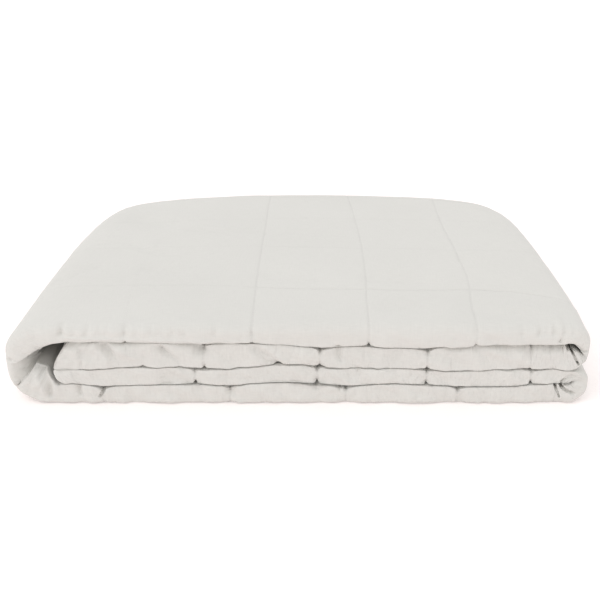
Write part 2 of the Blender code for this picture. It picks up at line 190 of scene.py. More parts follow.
# Heights of the three gap lines between the layers along the front: the level each belongs to, and
# points of it as x and z
GAP_LINES = (
    (HEIGHT_LOW, (
        (-0.222, 0.0197), (-0.206, 0.0197), (-0.194, 0.0203), (-0.179, 0.0186), (-0.167, 0.0175),
        (-0.145, 0.0181), (-0.119, 0.0189), (-0.095, 0.0191), (-0.079, 0.0190), (-0.060, 0.0181),
        (-0.044, 0.0199), (-0.025, 0.0208), (-0.013, 0.0214), (0.002, 0.0203), (0.013, 0.0192),
        (0.026, 0.0188), (0.040, 0.0178), (0.056, 0.0184), (0.066, 0.0198), (0.081, 0.0201),
        (0.107, 0.0182), (0.124, 0.0179), (0.145, 0.0168), (0.162, 0.0170), (0.184, 0.0172),
        (0.196, 0.0188), (0.209, 0.0196), (0.222, 0.0200))),
    (HEIGHT_MIDDLE, (
        (-0.222, 0.0335), (-0.189, 0.0333), (-0.179, 0.0335), (-0.158, 0.0348), (-0.136, 0.0362),
        (-0.126, 0.0360), (-0.103, 0.0360), (-0.093, 0.0346), (-0.080, 0.0338), (-0.057, 0.0340),
        (-0.040, 0.0359), (-0.029, 0.0362), (-0.019, 0.0372), (-0.011, 0.0377), (0.002, 0.0376),
        (0.013, 0.0361), (0.023, 0.0351), (0.034, 0.0344), (0.049, 0.0345), (0.076, 0.0345),
        (0.110, 0.0332), (0.140, 0.0319), (0.167, 0.0326), (0.195, 0.0330), (0.220, 0.0332),
        (0.236, 0.0322))),
    (HEIGHT_HIGH, (
        (-0.222, 0.0572), (-0.207, 0.0584), (-0.193, 0.0600), (-0.177, 0.0603), (-0.164, 0.0610),
        (-0.156, 0.0598), (-0.147, 0.0594), (-0.139, 0.0597), (-0.124, 0.0596), (-0.104, 0.0588),
        (-0.083, 0.0587), (-0.065, 0.0585), (-0.041, 0.0588), (-0.019, 0.0576), (0.002, 0.0557),
        (0.016, 0.0550), (0.034, 0.0555), (0.048, 0.0561), (0.056, 0.0560), (0.065, 0.0549),
        (0.076, 0.0543), (0.104, 0.0535), (0.121, 0.0556), (0.126, 0.0542), (0.140, 0.0546),
        (0.147, 0.0561), (0.171, 0.0578), (0.190, 0.0571), (0.213, 0.0576), (0.222, 0.0582))),
)
# A fine waver of the gap lines: its height, its bends to the metre, and how far it goes to each side
WAVER = 0.0003
WAVER_PITCH = 55
WAVER_SPAN = 0.25

# How the pile sinks towards its ends and its back, and how its corners are rounded. BACK_NARROW: the
# share by which the back is narrower than the front, over the middle NARROW_OVER of the depth.
# RIGHT_TUCK: how far the right end is drawn in at the front, growing between the shares TUCK_FROM and
# TUCK_TO of the way there from the middle
TOP_CROWN = 0.0015
SINK_FROM = 0.195
SIDE_SINK = 0.05
BACK_SINK = 0.09
CORNER_SINK = 0.12
CORNER_DEEP_LEFT = 0.044
CORNER_DEEP_RIGHT = 0.048
CORNER_WIDE_LEFT = 0.110
CORNER_WIDE_RIGHT = 0.095
CORNER_MOST = 0.98
BACK_BOW_LEFT = 0.034
BACK_BOW_RIGHT = 0.026
BACK_NARROW = 0.020
NARROW_OVER = 0.6
FRONT_BOW = 0.003
RIGHT_TUCK = 0.0024
TUCK_FROM, TUCK_TO = 0.70, 0.95
HALF_WIDE = 0.247
HALF_DEEP = DEPTH / 2
RIM_REACH = 0.045
HIDDEN_FADE = 0.020
FLOOR_FADE = 0.003

# The pile's ends at the front, over the depth END_REACH. END_OUTLINE: how far right of the straight end
# the cloth's two ends lie, by height, which comes in between ENDS_FROM and ENDS_TO left of the middle.
# Between JOIN_FROM and JOIN_TO left of the middle the two ends come to press together as one, within
# JOIN_HIGH of their gap, and this comes in over the depths in JOIN_FRONT: they lie JOIN_BACK behind the
# front, and their gap closes by the share JOIN_SHARE within JOIN_SLIT of it
END_REACH = 0.060
ENDS_FROM, ENDS_TO = 0.150, 0.205
END_OUTLINE = ((0.0195, 0.0060), (0.0225, 0.0024), (0.0257, 0.0000), (0.0293, -0.0014), (0.0351, -0.0014),
               (0.0428, 0.0018), (0.0497, 0.0068), (0.0544, 0.0122), (0.0607, 0.0196))
JOIN_FROM, JOIN_TO, JOIN_HIGH = 0.179, 0.186, 0.0050
JOIN_BACK = 0.0032
JOIN_FRONT = (0.160, 0.172)
JOIN_SLIT, JOIN_SHARE = 0.0012, 1.0

# FACET_TOP, FACET_FOOT: the two creases that bound the facet on the loop's front, as x and z. It starts
# within FACET_EDGE of them, and is drawn back from nothing at FACET_FROM to FACET_BACK at its inner edge.
# TONGUE: how the loop's floor rises behind the lower crease. TIPS: how far the inner crease of each tight
# fold is drawn aside and up, how far its two faces part over and under it, how deep that reaches, and
# the run of x over which the faces part
FACET_TOP = ((-0.2480, 0.0406), (-0.2457, 0.0402), (-0.2382, 0.0421), (-0.2295, 0.0464), (-0.2240, 0.0500),
             (-0.2200, 0.0518))
FACET_FOOT = ((-0.2480, 0.0105), (-0.2402, 0.0166), (-0.2361, 0.0206), (-0.2310, 0.0254), (-0.2278, 0.0286),
              (-0.2254, 0.0320), (-0.2230, 0.0376), (-0.2212, 0.0430))
FACET_EDGE = 0.0013
FACET_BACK = 0.022
FACET_FROM = -0.2445
TONGUE = dict(x=-0.2190, wide_left=0.0130, wide_right=0.0078, until=-0.19, high=0.0138, top=0.0400,
              flat=0.045, reach=0.100)
TIPS = {
    "upper_turn": dict(right=0.0160, up=-0.0082, over=0.0014, under=0.0062, reach=0.055, run=0.0035),
    "lower_turn": dict(right=0.0020, up=0.0010, over=0.0003, under=0.0006, reach=0.030, run=0.005),
}

# Creases and ridges on the front rims: a line of x and z, its half widths at the line's two ends, how far
# it is drawn back there, or brought forward where that is below 0, and the only runs and turns that it
# cuts into, where it opens towards a gap. A crease that starts deeper than CUT_DEEP has steep walls, by
# the power CUT_STEEP, and every other has soft ones, by the power CUT_SOFT
CUT_DEEP = 0.010
CUT_STEEP = 6
CUT_SOFT = 2
FRONT_CREASES = (
    (((0.2390, 0.0493), (0.2440, 0.0500)), (0.0010, 0.0006), (0.0020, 0.0006), ()),
    (((0.2262, 0.0545), (0.2304, 0.0466), (0.2331, 0.0417), (0.2354, 0.0381)),
     (0.0009, 0.0007), (0.0240, 0.0100), ("second", "upper_turn")),
    (((0.2168, 0.0215), (0.2184, 0.0166), (0.2190, 0.0139), (0.2210, 0.0102), (0.2225, 0.0067)),
     (0.0012, 0.0006), (0.0280, 0.0180), ("bottom",)),
    (((0.2218, 0.0205), (0.2230, 0.0170), (0.2246, 0.0151), (0.2268, 0.0134), (0.2355, 0.0096)),
     (0.0012, 0.0012), (0.0170, 0.0006), ("bottom", "lower_turn")),
    (((0.2262, 0.0188), (0.2289, 0.0188), (0.2331, 0.0196)), (0.0009, 0.0005), (0.0080, 0.0020), ()),
    (((0.2231, 0.0211), (0.2259, 0.0233), (0.2286, 0.0253), (0.2330, 0.0268)),
     (0.0010, 0.0022), (0.0050, 0.0010), ("third", "lower_turn")),
    (((-0.2439, 0.0412), (-0.2500, 0.0414)), (0.0010, 0.0010), (0.0030, 0.0010), ()),
    (((-0.2440, 0.0142), (-0.2402, 0.0173)), (0.0008, 0.0010), (0.0010, 0.0020), ()),
    (((-0.1628, 0.0560), (-0.1575, 0.0477), (-0.1541, 0.0391)), (0.0036, 0.0030), (0.0060, 0.0018), ()),
    (((-0.1493, 0.0543), (-0.1432, 0.0486), (-0.1352, 0.0448)), (0.0026, 0.0030), (-0.0030, -0.0014), ()),
    (((-0.1162, 0.0544), (-0.1098, 0.0477), (-0.1035, 0.0429)), (0.0026, 0.0022), (0.0044, 0.0018), ()),
    (((-0.0370, 0.0540), (-0.0290, 0.0458), (-0.0215, 0.0400)), (0.0050, 0.0034), (0.0040, 0.0026), ()),
    (((-0.0290, 0.0540), (-0.0210, 0.0470), (-0.0120, 0.0420)), (0.0032, 0.0030), (-0.0016, -0.0014), ()),
    (((0.0322, 0.0544), (0.0339, 0.0429)), (0.0026, 0.0024), (0.0040, 0.0026), ()),
    (((0.0492, 0.0362), (0.0493, 0.0285)), (0.0014, 0.0012), (0.0040, 0.0012), ()),
    (((-0.1660, 0.0192), (-0.1669, 0.0143), (-0.1690, 0.0113), (-0.1714, 0.0075)),
     (0.0012, 0.0008), (0.0120, 0.0030), ("bottom",)),
    (((-0.2160, 0.0300), (-0.2131, 0.0226), (-0.2138, 0.0099)), (0.0036, 0.0024), (0.0040, 0.0040), ()),
    (((-0.2225, 0.0260), (-0.2180, 0.0140)), (0.0030, 0.0024), (-0.0024, -0.0020), ()),
    (((-0.1885, 0.0177), (-0.1878, 0.0099)), (0.0022, 0.0016), (0.0040, 0.0024), ()),
    (((-0.1836, 0.0510), (-0.1845, 0.0392)), (0.0015, 0.0015), (0.0012, 0.0010), ()),
    (((-0.1869, 0.0510), (-0.1877, 0.0390)), (0.0018, 0.0018), (-0.0014, -0.0010), ()),
    (((-0.1950, 0.0600), (-0.1780, 0.0605)), (0.0060, 0.0040), (0.0060, 0.0040), ("second",)),
    (((-0.1680, 0.0610), (-0.1350, 0.0600)), (0.0030, 0.0030), (0.0030, 0.0020), ("second",)),
    (((-0.1000, 0.0600), (-0.0880, 0.0590), (-0.0830, 0.0540)),
     (0.0040, 0.0045), (0.0030, 0.0055), ("second",)),
    (((0.1250, 0.0560), (0.1600, 0.0590), (0.2200, 0.0600)), (0.0040, 0.0070), (0.0045, 0.0100), ("second",)),
    (((-0.1950, 0.0648), (-0.1400, 0.0632), (-0.0850, 0.0614), (-0.0400, 0.0614)),
     (0.0010, 0.0010), (-0.0012, -0.0008), ()),
    (((0.2168, 0.0606), (0.2186, 0.0643)), (0.0012, 0.0012), (0.0026, 0.0010), ()),
)

# Short upright gathers along the front rim of the top: x and depth. They show between GATHER_LOW and
# GATHER_HIGH, fade over GATHER_IN and GATHER_OUT there, and lean right by GATHER_SLANT to the height
GATHERS = (
    (-0.1980, 0.0039), (-0.1870, 0.0013), (-0.1763, 0.0019), (-0.1664, 0.0014), (-0.1599, 0.0014),
    (-0.1450, 0.0028), (-0.1350, 0.0013), (-0.1235, 0.0015), (-0.1162, 0.0019), (-0.1048, 0.0020),
    (-0.0957, 0.0017), (-0.0700, 0.0017), (-0.0390, 0.0017), (0.1450, 0.0011), (0.1850, 0.0017),
    (0.1991, 0.0033), (0.2045, 0.0025), (0.2110, 0.0033), (0.2197, 0.0031), (0.2270, 0.0020),
)
GATHER_WIDE = 0.0026
GATHER_LOW, GATHER_HIGH = 0.064, 0.080
GATHER_IN, GATHER_OUT = 0.004, 0.006
GATHER_SLANT = 0.15

# Ribs and crumples of the front rims: how strong each is at some heights, and how far the crumples as a
# whole lie back. RIB_NOISE: share, bends to the metre along u and v, and the slice of the noise.
# CRUMPLE_NOISE: share, bends to the metre by x, by z along with x, and by z, and the slice of the noise
RIM_HEIGHTS = (0.005, 0.028, 0.047, 0.065)
RIB_SHARES = (3.0, 1.6, 1.2, 0.6)
RIB_NOISE = ((1.0, 160, 25, 3.5), (0.6, 60, 18, 9.5))
CRUMPLE_SHARES = (0.8, 1.0, 1.0, 0.5)
CRUMPLE_NOISE = ((1.0, 80, 60, 80, 21.5), (0.25, 190, -90, 110, 4.5))
CRUMPLE_BACK = 0.5

# Where the front relief shows: the depths at which it comes in, the depths of the foremost cloth, and
# how squarely the cloth has to face the front
FRONT_DEPTHS = (0.120, 0.150)
FOREMOST_DEPTHS = (0.155, 0.172)
FACING_FRONT = (0.15, 0.5)

# Where the top's relief shows: how squarely the cloth has to face up, and over what height it comes in.
# Puckers beside a seam: how far they reach, and their bends to the metre across and along it
FACING_UP = (0.4, 0.8)
TOP_FADE = 0.008
PUCKER_WIDE = 0.012
PUCKER_ACROSS, PUCKER_ALONG = 30, 110
SWELL_PITCH = 22

# Wrinkles and broad dips of the top: a line of x and y, its half width, and how deep it is, or how high
# where that is below 0
TOP_WRINKLES = (
    (((-0.121, 0.044), (-0.094, 0.038), (-0.067, 0.038), (-0.044, 0.035)), 0.005, 0.0012),
    (((-0.033, 0.026), (-0.004, 0.035), (0.018, 0.032), (0.044, 0.026)), 0.005, 0.0010),
    (((-0.225, -0.083), (-0.211, -0.071), (-0.198, -0.057)), 0.006, 0.0026),
    (((-0.211, 0.005), (-0.183, 0.011), (-0.153, -0.017), (-0.136, -0.023)), 0.006, 0.0015),
    (((0.172, -0.153), (0.190, -0.149), (0.205, -0.157), (0.215, -0.172)), 0.006, -0.0015),
    (((-0.133, -0.170), (-0.100, -0.166), (-0.067, -0.168), (-0.045, -0.176)), 0.012, 0.0016),
    (((0.150, -0.150), (0.170, -0.163), (0.195, -0.170)), 0.014, 0.0016),
    (((-0.188, -0.116), (-0.187, -0.114)), 0.004, 0.0017),
    (((0.1563, -0.040), (0.1575, -0.030)), 0.004, 0.0015),
    (((-0.140, -0.060), (-0.120, -0.066)), 0.014, 0.0026),
    (((-0.025, -0.082), (0.010, -0.086)), 0.013, 0.0031),
    (((0.070, -0.085), (0.110, -0.090)), 0.012, 0.0029),
    (((0.080, -0.150), (0.105, -0.146)), 0.013, 0.0026),
    (((-0.180, 0.090), (-0.150, 0.070)), 0.020, 0.0031),
    (((0.065, 0.075), (0.090, 0.070)), 0.014, 0.0015),
)

# Mesh: steps between the cloth's points, and how far its lines draw together at the seams. HEM_ANGLE:
# how sharply the slab's edges turn where the hems are rounded
STEP_TOP = 0.0040
STEP_RIM = 0.0023
STEP_FRONT = 0.0027
STEP_TURN_RIM = 0.0009
STEP_ARC = 0.0011
STEP_BACK = 0.0065
STEP_INSIDE = 0.0080
BACK_REACH = 0.020
FRONT_REACH = 0.010
TURN_REACH = 0.022
SEAM_DRAW = 0.6
SHARP_ANGLE = math.radians(50)
HEM_ANGLE = 1
STATION_APART = 0.004
NOTCH_REACH = 0.030
RIM_STEPS = 6
FOLD_STEPS = 4
TURN_STEPS = 8
LOOP_STEPS = 12

# Cotton. SLUB_SCALES: bends to the metre of the two ways' slubs. SLUB_HEIGHT, SLUB_SHADE: how much they
# raise and shade the yarns. THREAD_EDGES, PINCH_WIDE: where the thread and its pinched line end, in
# thread widths. STITCH_ENDS: where a stitch ends, from its middle, in stitches. PINCH_DEEP: depth of the
# pinched line against the thread's height. THREAD_COVER: how far the thread's colour covers the cloth's.
# SEWN_DEEP: relief of the stitches. YARN_GLOSS: how much smoother the yarns' crowns are. PATCH_SCALE,
# PATCH_SHADE: bends to the metre and strength of the cloth's broad random patches of tone, which are partly
# uneven cloth and partly painted shade standing in for soft shading dips
SLUB_SCALES = ((90, 1300, 1), (1300, 90, 1))
SLUB_HEIGHT, SLUB_SHADE = 2.0, 0.16
THREAD_EDGES = (0.35, 0.65)
THREAD_COVER = 0.8
STITCH_ENDS = (0.32, 0.42)
PINCH_WIDE, PINCH_DEEP = 2.0, 1.5
SEWN_DEEP = 0.0002
YARN_GLOSS = 0.06
PATCH_SCALE, PATCH_SHADE = 9.0, 0.05

# Fine crumples: bends to the metre along u and v, how far before and behind the rims' start they come in,
# how far past its end they run out, and how far beside the top they change to the top's share
FINE_SCALE = (230, 220, 1)
FINE_BEFORE, FINE_IN, FINE_OUT = 0.004, 0.008, 0.006
FINE_TOP = 0.010

# Stage: the key light shines from here towards the pile
KEY_PLACE = (-1.4, -0.9, 2.3)


class ClothSizes(bpy.types.PropertyGroup):
    """Depths and widths of the quilting and of the small folds."""

    hollow_deep: bpy.props.FloatProperty(
        name="Hollow depth", description="How far the cloth sinks along a seam", default=0.0011,
        unit="LENGTH")
    hollow_wide: bpy.props.FloatProperty(
        name="Hollow width", description="How far from a seam the cloth sinks", default=0.018, unit="LENGTH")
    crease_deep: bpy.props.FloatProperty(
        name="Crease depth", description="Depth of the narrow crease at the stitches", default=0.0011,
        unit="LENGTH")
    crease_wide: bpy.props.FloatProperty(
        name="Crease width", description="Half width of the narrow crease", default=0.0015, unit="LENGTH")
    notch_pinch: bpy.props.FloatProperty(
        name="Notch pinch", description="Share of a layer's height that a seam rounds off at the front rim",
        default=0.40, min=0, max=0.8)
    notch_back: bpy.props.FloatProperty(
        name="Notch depth", description="How far a seam draws the front rim back", default=0.0160,
        unit="LENGTH")
    notch_wide: bpy.props.FloatProperty(
        name="Notch width", description="How far to each side a rim's notch runs out", default=0.0042,
        unit="LENGTH")
    groove_pinch: bpy.props.FloatProperty(
        name="Groove pinch", description="Share of a layer's height that the notch's black point takes",
        default=0.14, min=0, max=0.8)
    groove_wide: bpy.props.FloatProperty(
        name="Groove width", description="Half width of the black point of a rim's notch", default=0.0012,
        unit="LENGTH")
    pucker: bpy.props.FloatProperty(
        name="Pucker depth", description="Depth of the small puckers beside the seams", default=0.00022,
        unit="LENGTH")
    ribs: bpy.props.FloatProperty(
        name="Rib depth", description="Depth of the faint upright ribs on the front rims", default=0.00050,
        unit="LENGTH")
    crumple: bpy.props.FloatProperty(
        name="Crumple depth", description="Depth of the small crumples on the front rims", default=0.00280,
        unit="LENGTH")
    swell: bpy.props.FloatProperty(
        name="Swell", description="Depth of the top's broad unevenness", default=0.0006, unit="LENGTH")
    wrinkle: bpy.props.FloatProperty(
        name="Wrinkle strength", description="Factor on the hand-placed wrinkles and creases", default=1.0)


class CottonFinish(bpy.types.PropertyGroup):
    """Colours and weave of the cotton."""

    cloth: bpy.props.FloatVectorProperty(
        name="Cloth", description="Colour of the cotton", subtype="COLOR", size=4, min=0, max=1,
        default=(0.690, 0.678, 0.645, 1))
    thread: bpy.props.FloatVectorProperty(
        name="Thread", description="Colour of the quilting thread", subtype="COLOR", size=4, min=0, max=1,
        default=(0.72, 0.705, 0.675, 1))
    rough: bpy.props.FloatProperty(
        name="Roughness", description="Roughness of the cotton", default=0.9, min=0, max=1)
    weave_pitch: bpy.props.FloatProperty(
        name="Weave pitch", description="Distance between neighbouring yarns", default=0.0006, unit="LENGTH",
        precision=5)
    weave_deep: bpy.props.FloatProperty(
        name="Weave depth", description="Height of the yarns", default=0.00012, unit="LENGTH", precision=5)
    slub: bpy.props.FloatProperty(
        name="Slub", description="Unevenness of the yarns", default=0.35, min=0, max=1)
    stitch: bpy.props.FloatProperty(
        name="Stitch length", description="Length of one quilting stitch", default=0.0034, unit="LENGTH")
    stitch_wide: bpy.props.FloatProperty(
        name="Thread width", description="Width of the quilting thread", default=0.0007, unit="LENGTH",
        precision=5)
    long_share: bpy.props.FloatProperty(
        name="Long seams' share", default=0.55, min=0, max=1,
        description="How strongly the lengthwise seams show beside the crosswise ones")
    top_share: bpy.props.FloatProperty(
        name="Top's share", description="How strongly the fine crumples show on the rim of the top",
        default=0.3, min=0, max=1)
    faint_share: bpy.props.FloatProperty(
        name="Faint seam's share", description="How strongly the faint seam shows beside the others",
        default=0.3, min=0, max=1)
    # Painted shade: the cloth's colour is darkened along the pinched line beside the stitches, as the shade
    # in the seams' creases.
    pinch_painted_shade: bpy.props.FloatProperty(
        name="Pinch shade", description="How much darker the cloth is where the stitches pinch it",
        default=0.055, min=0, max=1)
    crumple_deep: bpy.props.FloatProperty(
        name="Fine crumple depth", description="Height of the fine crumples on the front rims",
        default=0.0011, unit="LENGTH", precision=5)


class StageSetup(bpy.types.PropertyGroup):
    """Floor, lights and camera."""

    floor: bpy.props.FloatVectorProperty(
        name="Floor", description="Colour of the floor", subtype="COLOR", size=4, min=0, max=1,
        default=(0.96, 0.90, 0.89, 1))
    # Painted light: the floor glows evenly of itself though it is no lamp, which lightens the pile's shadow
    # on it and adds light on the cloth from below.
    floor_glow: bpy.props.FloatProperty(
        name="Floor glow", description="How strongly the floor shines of itself, as a light table does",
        default=0.15, min=0)
    floor_wide: bpy.props.FloatProperty(
        name="Floor width", description="Width of the square floor", default=14, unit="LENGTH")
    world: bpy.props.FloatProperty(
        name="Room light", description="Strength of the even light from all round", default=0.93)
    key: bpy.props.FloatProperty(
        name="Key light", description="Strength of the broad light from the upper left", default=0.55)
    key_soft: bpy.props.FloatProperty(
        name="Key softness", description="How wide the key light is, seen from the cloth",
        default=math.radians(40), subtype="ANGLE")
    lens: bpy.props.FloatProperty(
        name="Lens", description="Focal length on a 36 mm sensor, in mm", default=51.42)
    camera: bpy.props.FloatVectorProperty(
        name="Camera", description="Place of the camera", size=3, subtype="TRANSLATION", unit="LENGTH",
        default=(0.01576, -0.81777, 0.39008))
    pitch: bpy.props.FloatProperty(
        name="Pitch", description="How far the camera looks down", default=math.radians(24.74),
        subtype="ANGLE")
    shift: bpy.props.FloatProperty(
        name="Shift", description="Sideways shift of the camera's lens", default=-0.0305)


def ramp(value, low, high):
    """Smooth step from 0 at low to 1 at high."""
    t = np.clip((value - low) / (high - low), 0, 1)
    return t * t * (3 - 2 * t)


def round_power(wave, power):
    """A sine or cosine bent towards a squarer arc."""
    return np.sign(wave) * np.abs(wave) ** (2 / power)


def round_corner(cosine, sine, power):
    """A point of a circle moved straight outwards onto a squarer arc."""
    radius = (np.abs(cosine) ** power + np.abs(sine) ** power) ** (-1 / power)
    return cosine * radius, sine * radius


def noise_at(*coordinates):
    """Smooth noise from about -1 to 1 at every point."""
    flat = [np.broadcast_to(axis, coordinates[0].shape) for axis in coordinates]
    return np.array([noise.noise(Vector(point)) for point in zip(*flat)])


def course_length(part):
    """Length of a run, or of the outer face of a turn."""
    if part["centre"] is None:
        return abs(part["end"] - part["start"])
    half_high = abs(part["outer_1"] - part["outer_0"]) / 2
    return math.pi * math.hypot(part["reach_out"], half_high) / math.sqrt(2)


def course_starts():
    """Distance along the outer face at which each run and turn starts, and the whole."""
    return np.concatenate([[0], np.cumsum([course_length(part) for part in COURSE])])


def seam_places():
    """u of every crosswise seam, and its distance along the outer face, with the two hems."""
    names = [part["name"] for part in COURSE]
    starts = course_starts()
    far = [0.0]
    for name, place, *_ in SEAMS:
        part = COURSE[names.index(name)]
        share = (place - part["start"]) / (part["end"] - part["start"])
        far.append(starts[names.index(name)] + share * course_length(part))
    far.append(starts[-1])
    flat = [0.0] + [BORDER_LONG + k * CELL_LONG for k in range(CELLS_LONG + 1)] + [LENGTH]
    return np.array(flat), np.array(far)


def course_flat():
    """u at which each run and turn starts, and the whole."""
    flat, far = seam_places()
    return np.interp(course_starts(), far, flat)


def nearest_seam(flat, border, pitch, count):
    """Number of the nearest seam of a row, and the distance to it."""
    number = np.clip(np.round((flat - border) / pitch), 0, count)
    return number.astype(int), np.abs(flat - border - number * pitch)


def draw_together(place, border, pitch, count):
    """Moves evenly spaced lines towards the seams, where the cloth bends most."""
    cells = np.clip((place - border) / pitch, 0, count)
    return place - SEAM_DRAW * pitch / (2 * math.pi) * np.sin(2 * math.pi * cells)


def spread_apart(flat, border, pitch, count):
    """The inverse of draw_together."""
    even = np.linspace(0, 2 * border + count * pitch, 50 * count)
    return np.interp(flat, draw_together(even, border, pitch, count), even)


def quilting(u, v, x, sizes):
    """Depth of the seams' hollows and creases."""
    number_u, away_u = nearest_seam(u, BORDER_LONG, CELL_LONG, CELLS_LONG)
    number_v, away_v = nearest_seam(v, BORDER_WIDE, CELL_WIDE, CELLS_WIDE)
    sharp_u = np.array([seam[2] for seam in SEAMS])[number_u]
    sharp_v = np.array([LONG_SEAMS.get(k, 0) for k in range(CELLS_WIDE + 1)])[number_v]
    strong = ramp(x, FADE_TO, FADE_FROM) * ramp(-x, -TURN_FADE_TO, -TURN_FADE_FROM)
    sharp_v = sharp_v * (FADED + (1 - FADED) * strong)
    deep = np.zeros_like(u)
    for away, sharp in ((away_u, sharp_u), (away_v, sharp_v)):
        hollow = sizes.hollow_deep * np.exp(-((away / sizes.hollow_wide) ** 2))
        crease = sizes.crease_deep * sharp * np.exp(-((away / sizes.crease_wide) ** 2))
        deep = np.maximum(deep, hollow * (HOLLOW_LEAST + (1 - HOLLOW_LEAST) * sharp) + crease)
    return deep


def across(u, v, side, place, pressed):
    """Place of a point across the stack: y, and its share of the layer's thickness.

    side runs from +1 on the outer skin to -1 on the inner one. pressed is how far the outer skin is
    drawn in by the quilting, as a share of the thickness.
    """
    rim = place["rim"]
    on_rim = ramp(v, RIM_START - RIM_REACH, RIM_START) * ramp(-v, -RIM_END - RIM_REACH, -RIM_END)
    hem = np.minimum(np.minimum(v, WIDTH - v), np.minimum(u, LENGTH - u) + HEM_REACH * on_rim)
    full = HEM_THIN + (1 - HEM_THIN) * ramp(hem, 0, HEM_REACH)
    skin = side * SHEET / 2 * full - np.maximum(side, 0) * pressed * full ** 3
    skin_deep = skin / SHEET * SHEET_DEEP
    first, last = 1 - SHEET / 2, SHEET / 2
    third, second = last + SHEET + SLIT, first - SHEET - SLIT
    back = HALF_DEEP - place["short"]
    rim_y = -HALF_DEEP + place["set_back"] + rim
    inner_y = rim_y + INNER_RIM_BACK
    back_y = back - BACK_RIM - SHEET_DEEP / 2

    def share(low, high):
        return (v - low) / (high - low)

    def arc(low, high):
        angle = math.pi * (share(low, high) - 0.5)
        return np.cos(angle), np.sin(angle)

    rim_cos, rim_sin = arc(RIM_START, RIM_END)
    square = np.where(rim_sin > 0, place["square_in"], place["square_out"])
    rim_cos, rim_sin = round_corner(np.maximum(rim_cos, 0), rim_sin, square)
    back_cos, back_sin = arc(BACK_FOLD_START, BACK_FOLD_END)
    inner_cos, inner_sin = arc(INNER_FOLD_START, INNER_FOLD_END)
    zones = [v < RIM_START, v < RIM_END, v < BACK_FOLD_START, v < BACK_FOLD_END,
             v < INNER_FOLD_START, v < INNER_FOLD_END, v >= INNER_FOLD_END]
    y = np.select(zones, [
        back + (rim_y - back) * share(0, RIM_START),
        rim_y - (rim - SHEET_DEEP / 2 + skin_deep) * rim_cos,
        rim_y + (back_y - rim_y) * share(RIM_END, BACK_FOLD_START),
        back_y + (BACK_RIM + skin_deep) * back_cos,
        back_y + (inner_y - back_y) * share(BACK_FOLD_END, INNER_FOLD_START),
        inner_y - (INNER_RIM - skin_deep) * inner_cos,
        inner_y + (back - inner_y) * share(INNER_FOLD_END, WIDTH),
    ])
    level = np.select(zones, [
        first + skin,
        0.5 - (first - 0.5 + skin) * rim_sin,
        last - skin,
        (last + third) / 2 + ((third - last) / 2 + skin) * back_sin,
        third + skin,
        0.5 + ((second - third) / 2 - skin) * inner_sin,
        second - skin,
    ])
    return y, level


def faces(part, end):
    """Heights of a layer's inner and outer face at one end of a run or turn, clear of the next layer."""
    inner, outer = part["inner_" + end], part["outer_" + end]
    clear = math.copysign(LAYER_GAP / 2, outer - inner)
    return inner + clear, outer - clear * (outer == HEIGHT_MIDDLE)


def along(distance):
    """Inner and outer face of the layer at a distance along the course, and its rim's sizes."""
    starts = course_starts()
    place = {key: np.zeros_like(distance) for key in ("x_in", "x_out", "z_in", "z_out")}
    knots, rows = [], []
    for part, low, high in zip(COURSE, starts, starts[1:]):
        here = (distance >= low) & (distance <= high)
        spot = part["start"] + (part["end"] - part["start"]) * (distance[here] - low) / (high - low)
        for side, (level_0, level_1) in zip(("in", "out"), zip(faces(part, "0"), faces(part, "1"))):
            if part["centre"] is None:
                place["x_" + side][here] = spot
                place["z_" + side][here] = level_0
                continue
            sweep = np.radians(spot)
            power, half = part["power_" + side], abs(level_1 - level_0) / 2
            reach = part["reach_" + side] * round_power(np.cos(sweep), power)
            place["x_" + side][here] = part["centre"] + reach
            place["z_" + side][here] = (level_0 + level_1) / 2 + half * round_power(np.sin(sweep), power)
        shares = (0, 1) if part["centre"] is None else TURN_KNOTS
        knots.extend(low + (high - low) * share for share in shares)
        rows.extend([part] * len(shares))
    for key in ("rim", "square_in", "square_out", "set_back", "short"):
        place[key] = np.interp(distance, knots, [row[key] for row in rows])
    return place


def wave(x, y, z):
    """Rise or fall of the outer skin where it follows the wavy gap lines and the low crown."""
    shifts = [np.zeros_like(x)]
    even = np.linspace(-WAVER_SPAN, WAVER_SPAN, 200)
    for level, line in GAP_LINES:
        waver = WAVER * noise_at(even * WAVER_PITCH, np.float64(level * 1000), np.float64(0.5))
        shifts.append(np.interp(x, *zip(*line)) - level + np.interp(x, even, waver))
    shifts.append(np.zeros_like(x))
    levels = (0, HEIGHT_LOW, HEIGHT_MIDDLE, HEIGHT_HIGH, HEIGHT)
    shift = np.zeros_like(z)
    for low, high, below, above in zip(levels, levels[1:], shifts, shifts[1:]):
        part = (z - low) / (high - low)
        shift = np.where((z >= low) & (z <= high), below + (above - below) * part, shift)
    back = np.clip(y / HALF_DEEP, 0, 1)
    crown = TOP_CROWN * (1 - (1 + back) * (x / HALF_WIDE) ** 2) * ramp(z, HEIGHT_HIGH, HEIGHT)
    return shift * (1 - ramp(y, -HALF_DEEP, -HALF_DEEP + RIM_REACH)) + crown


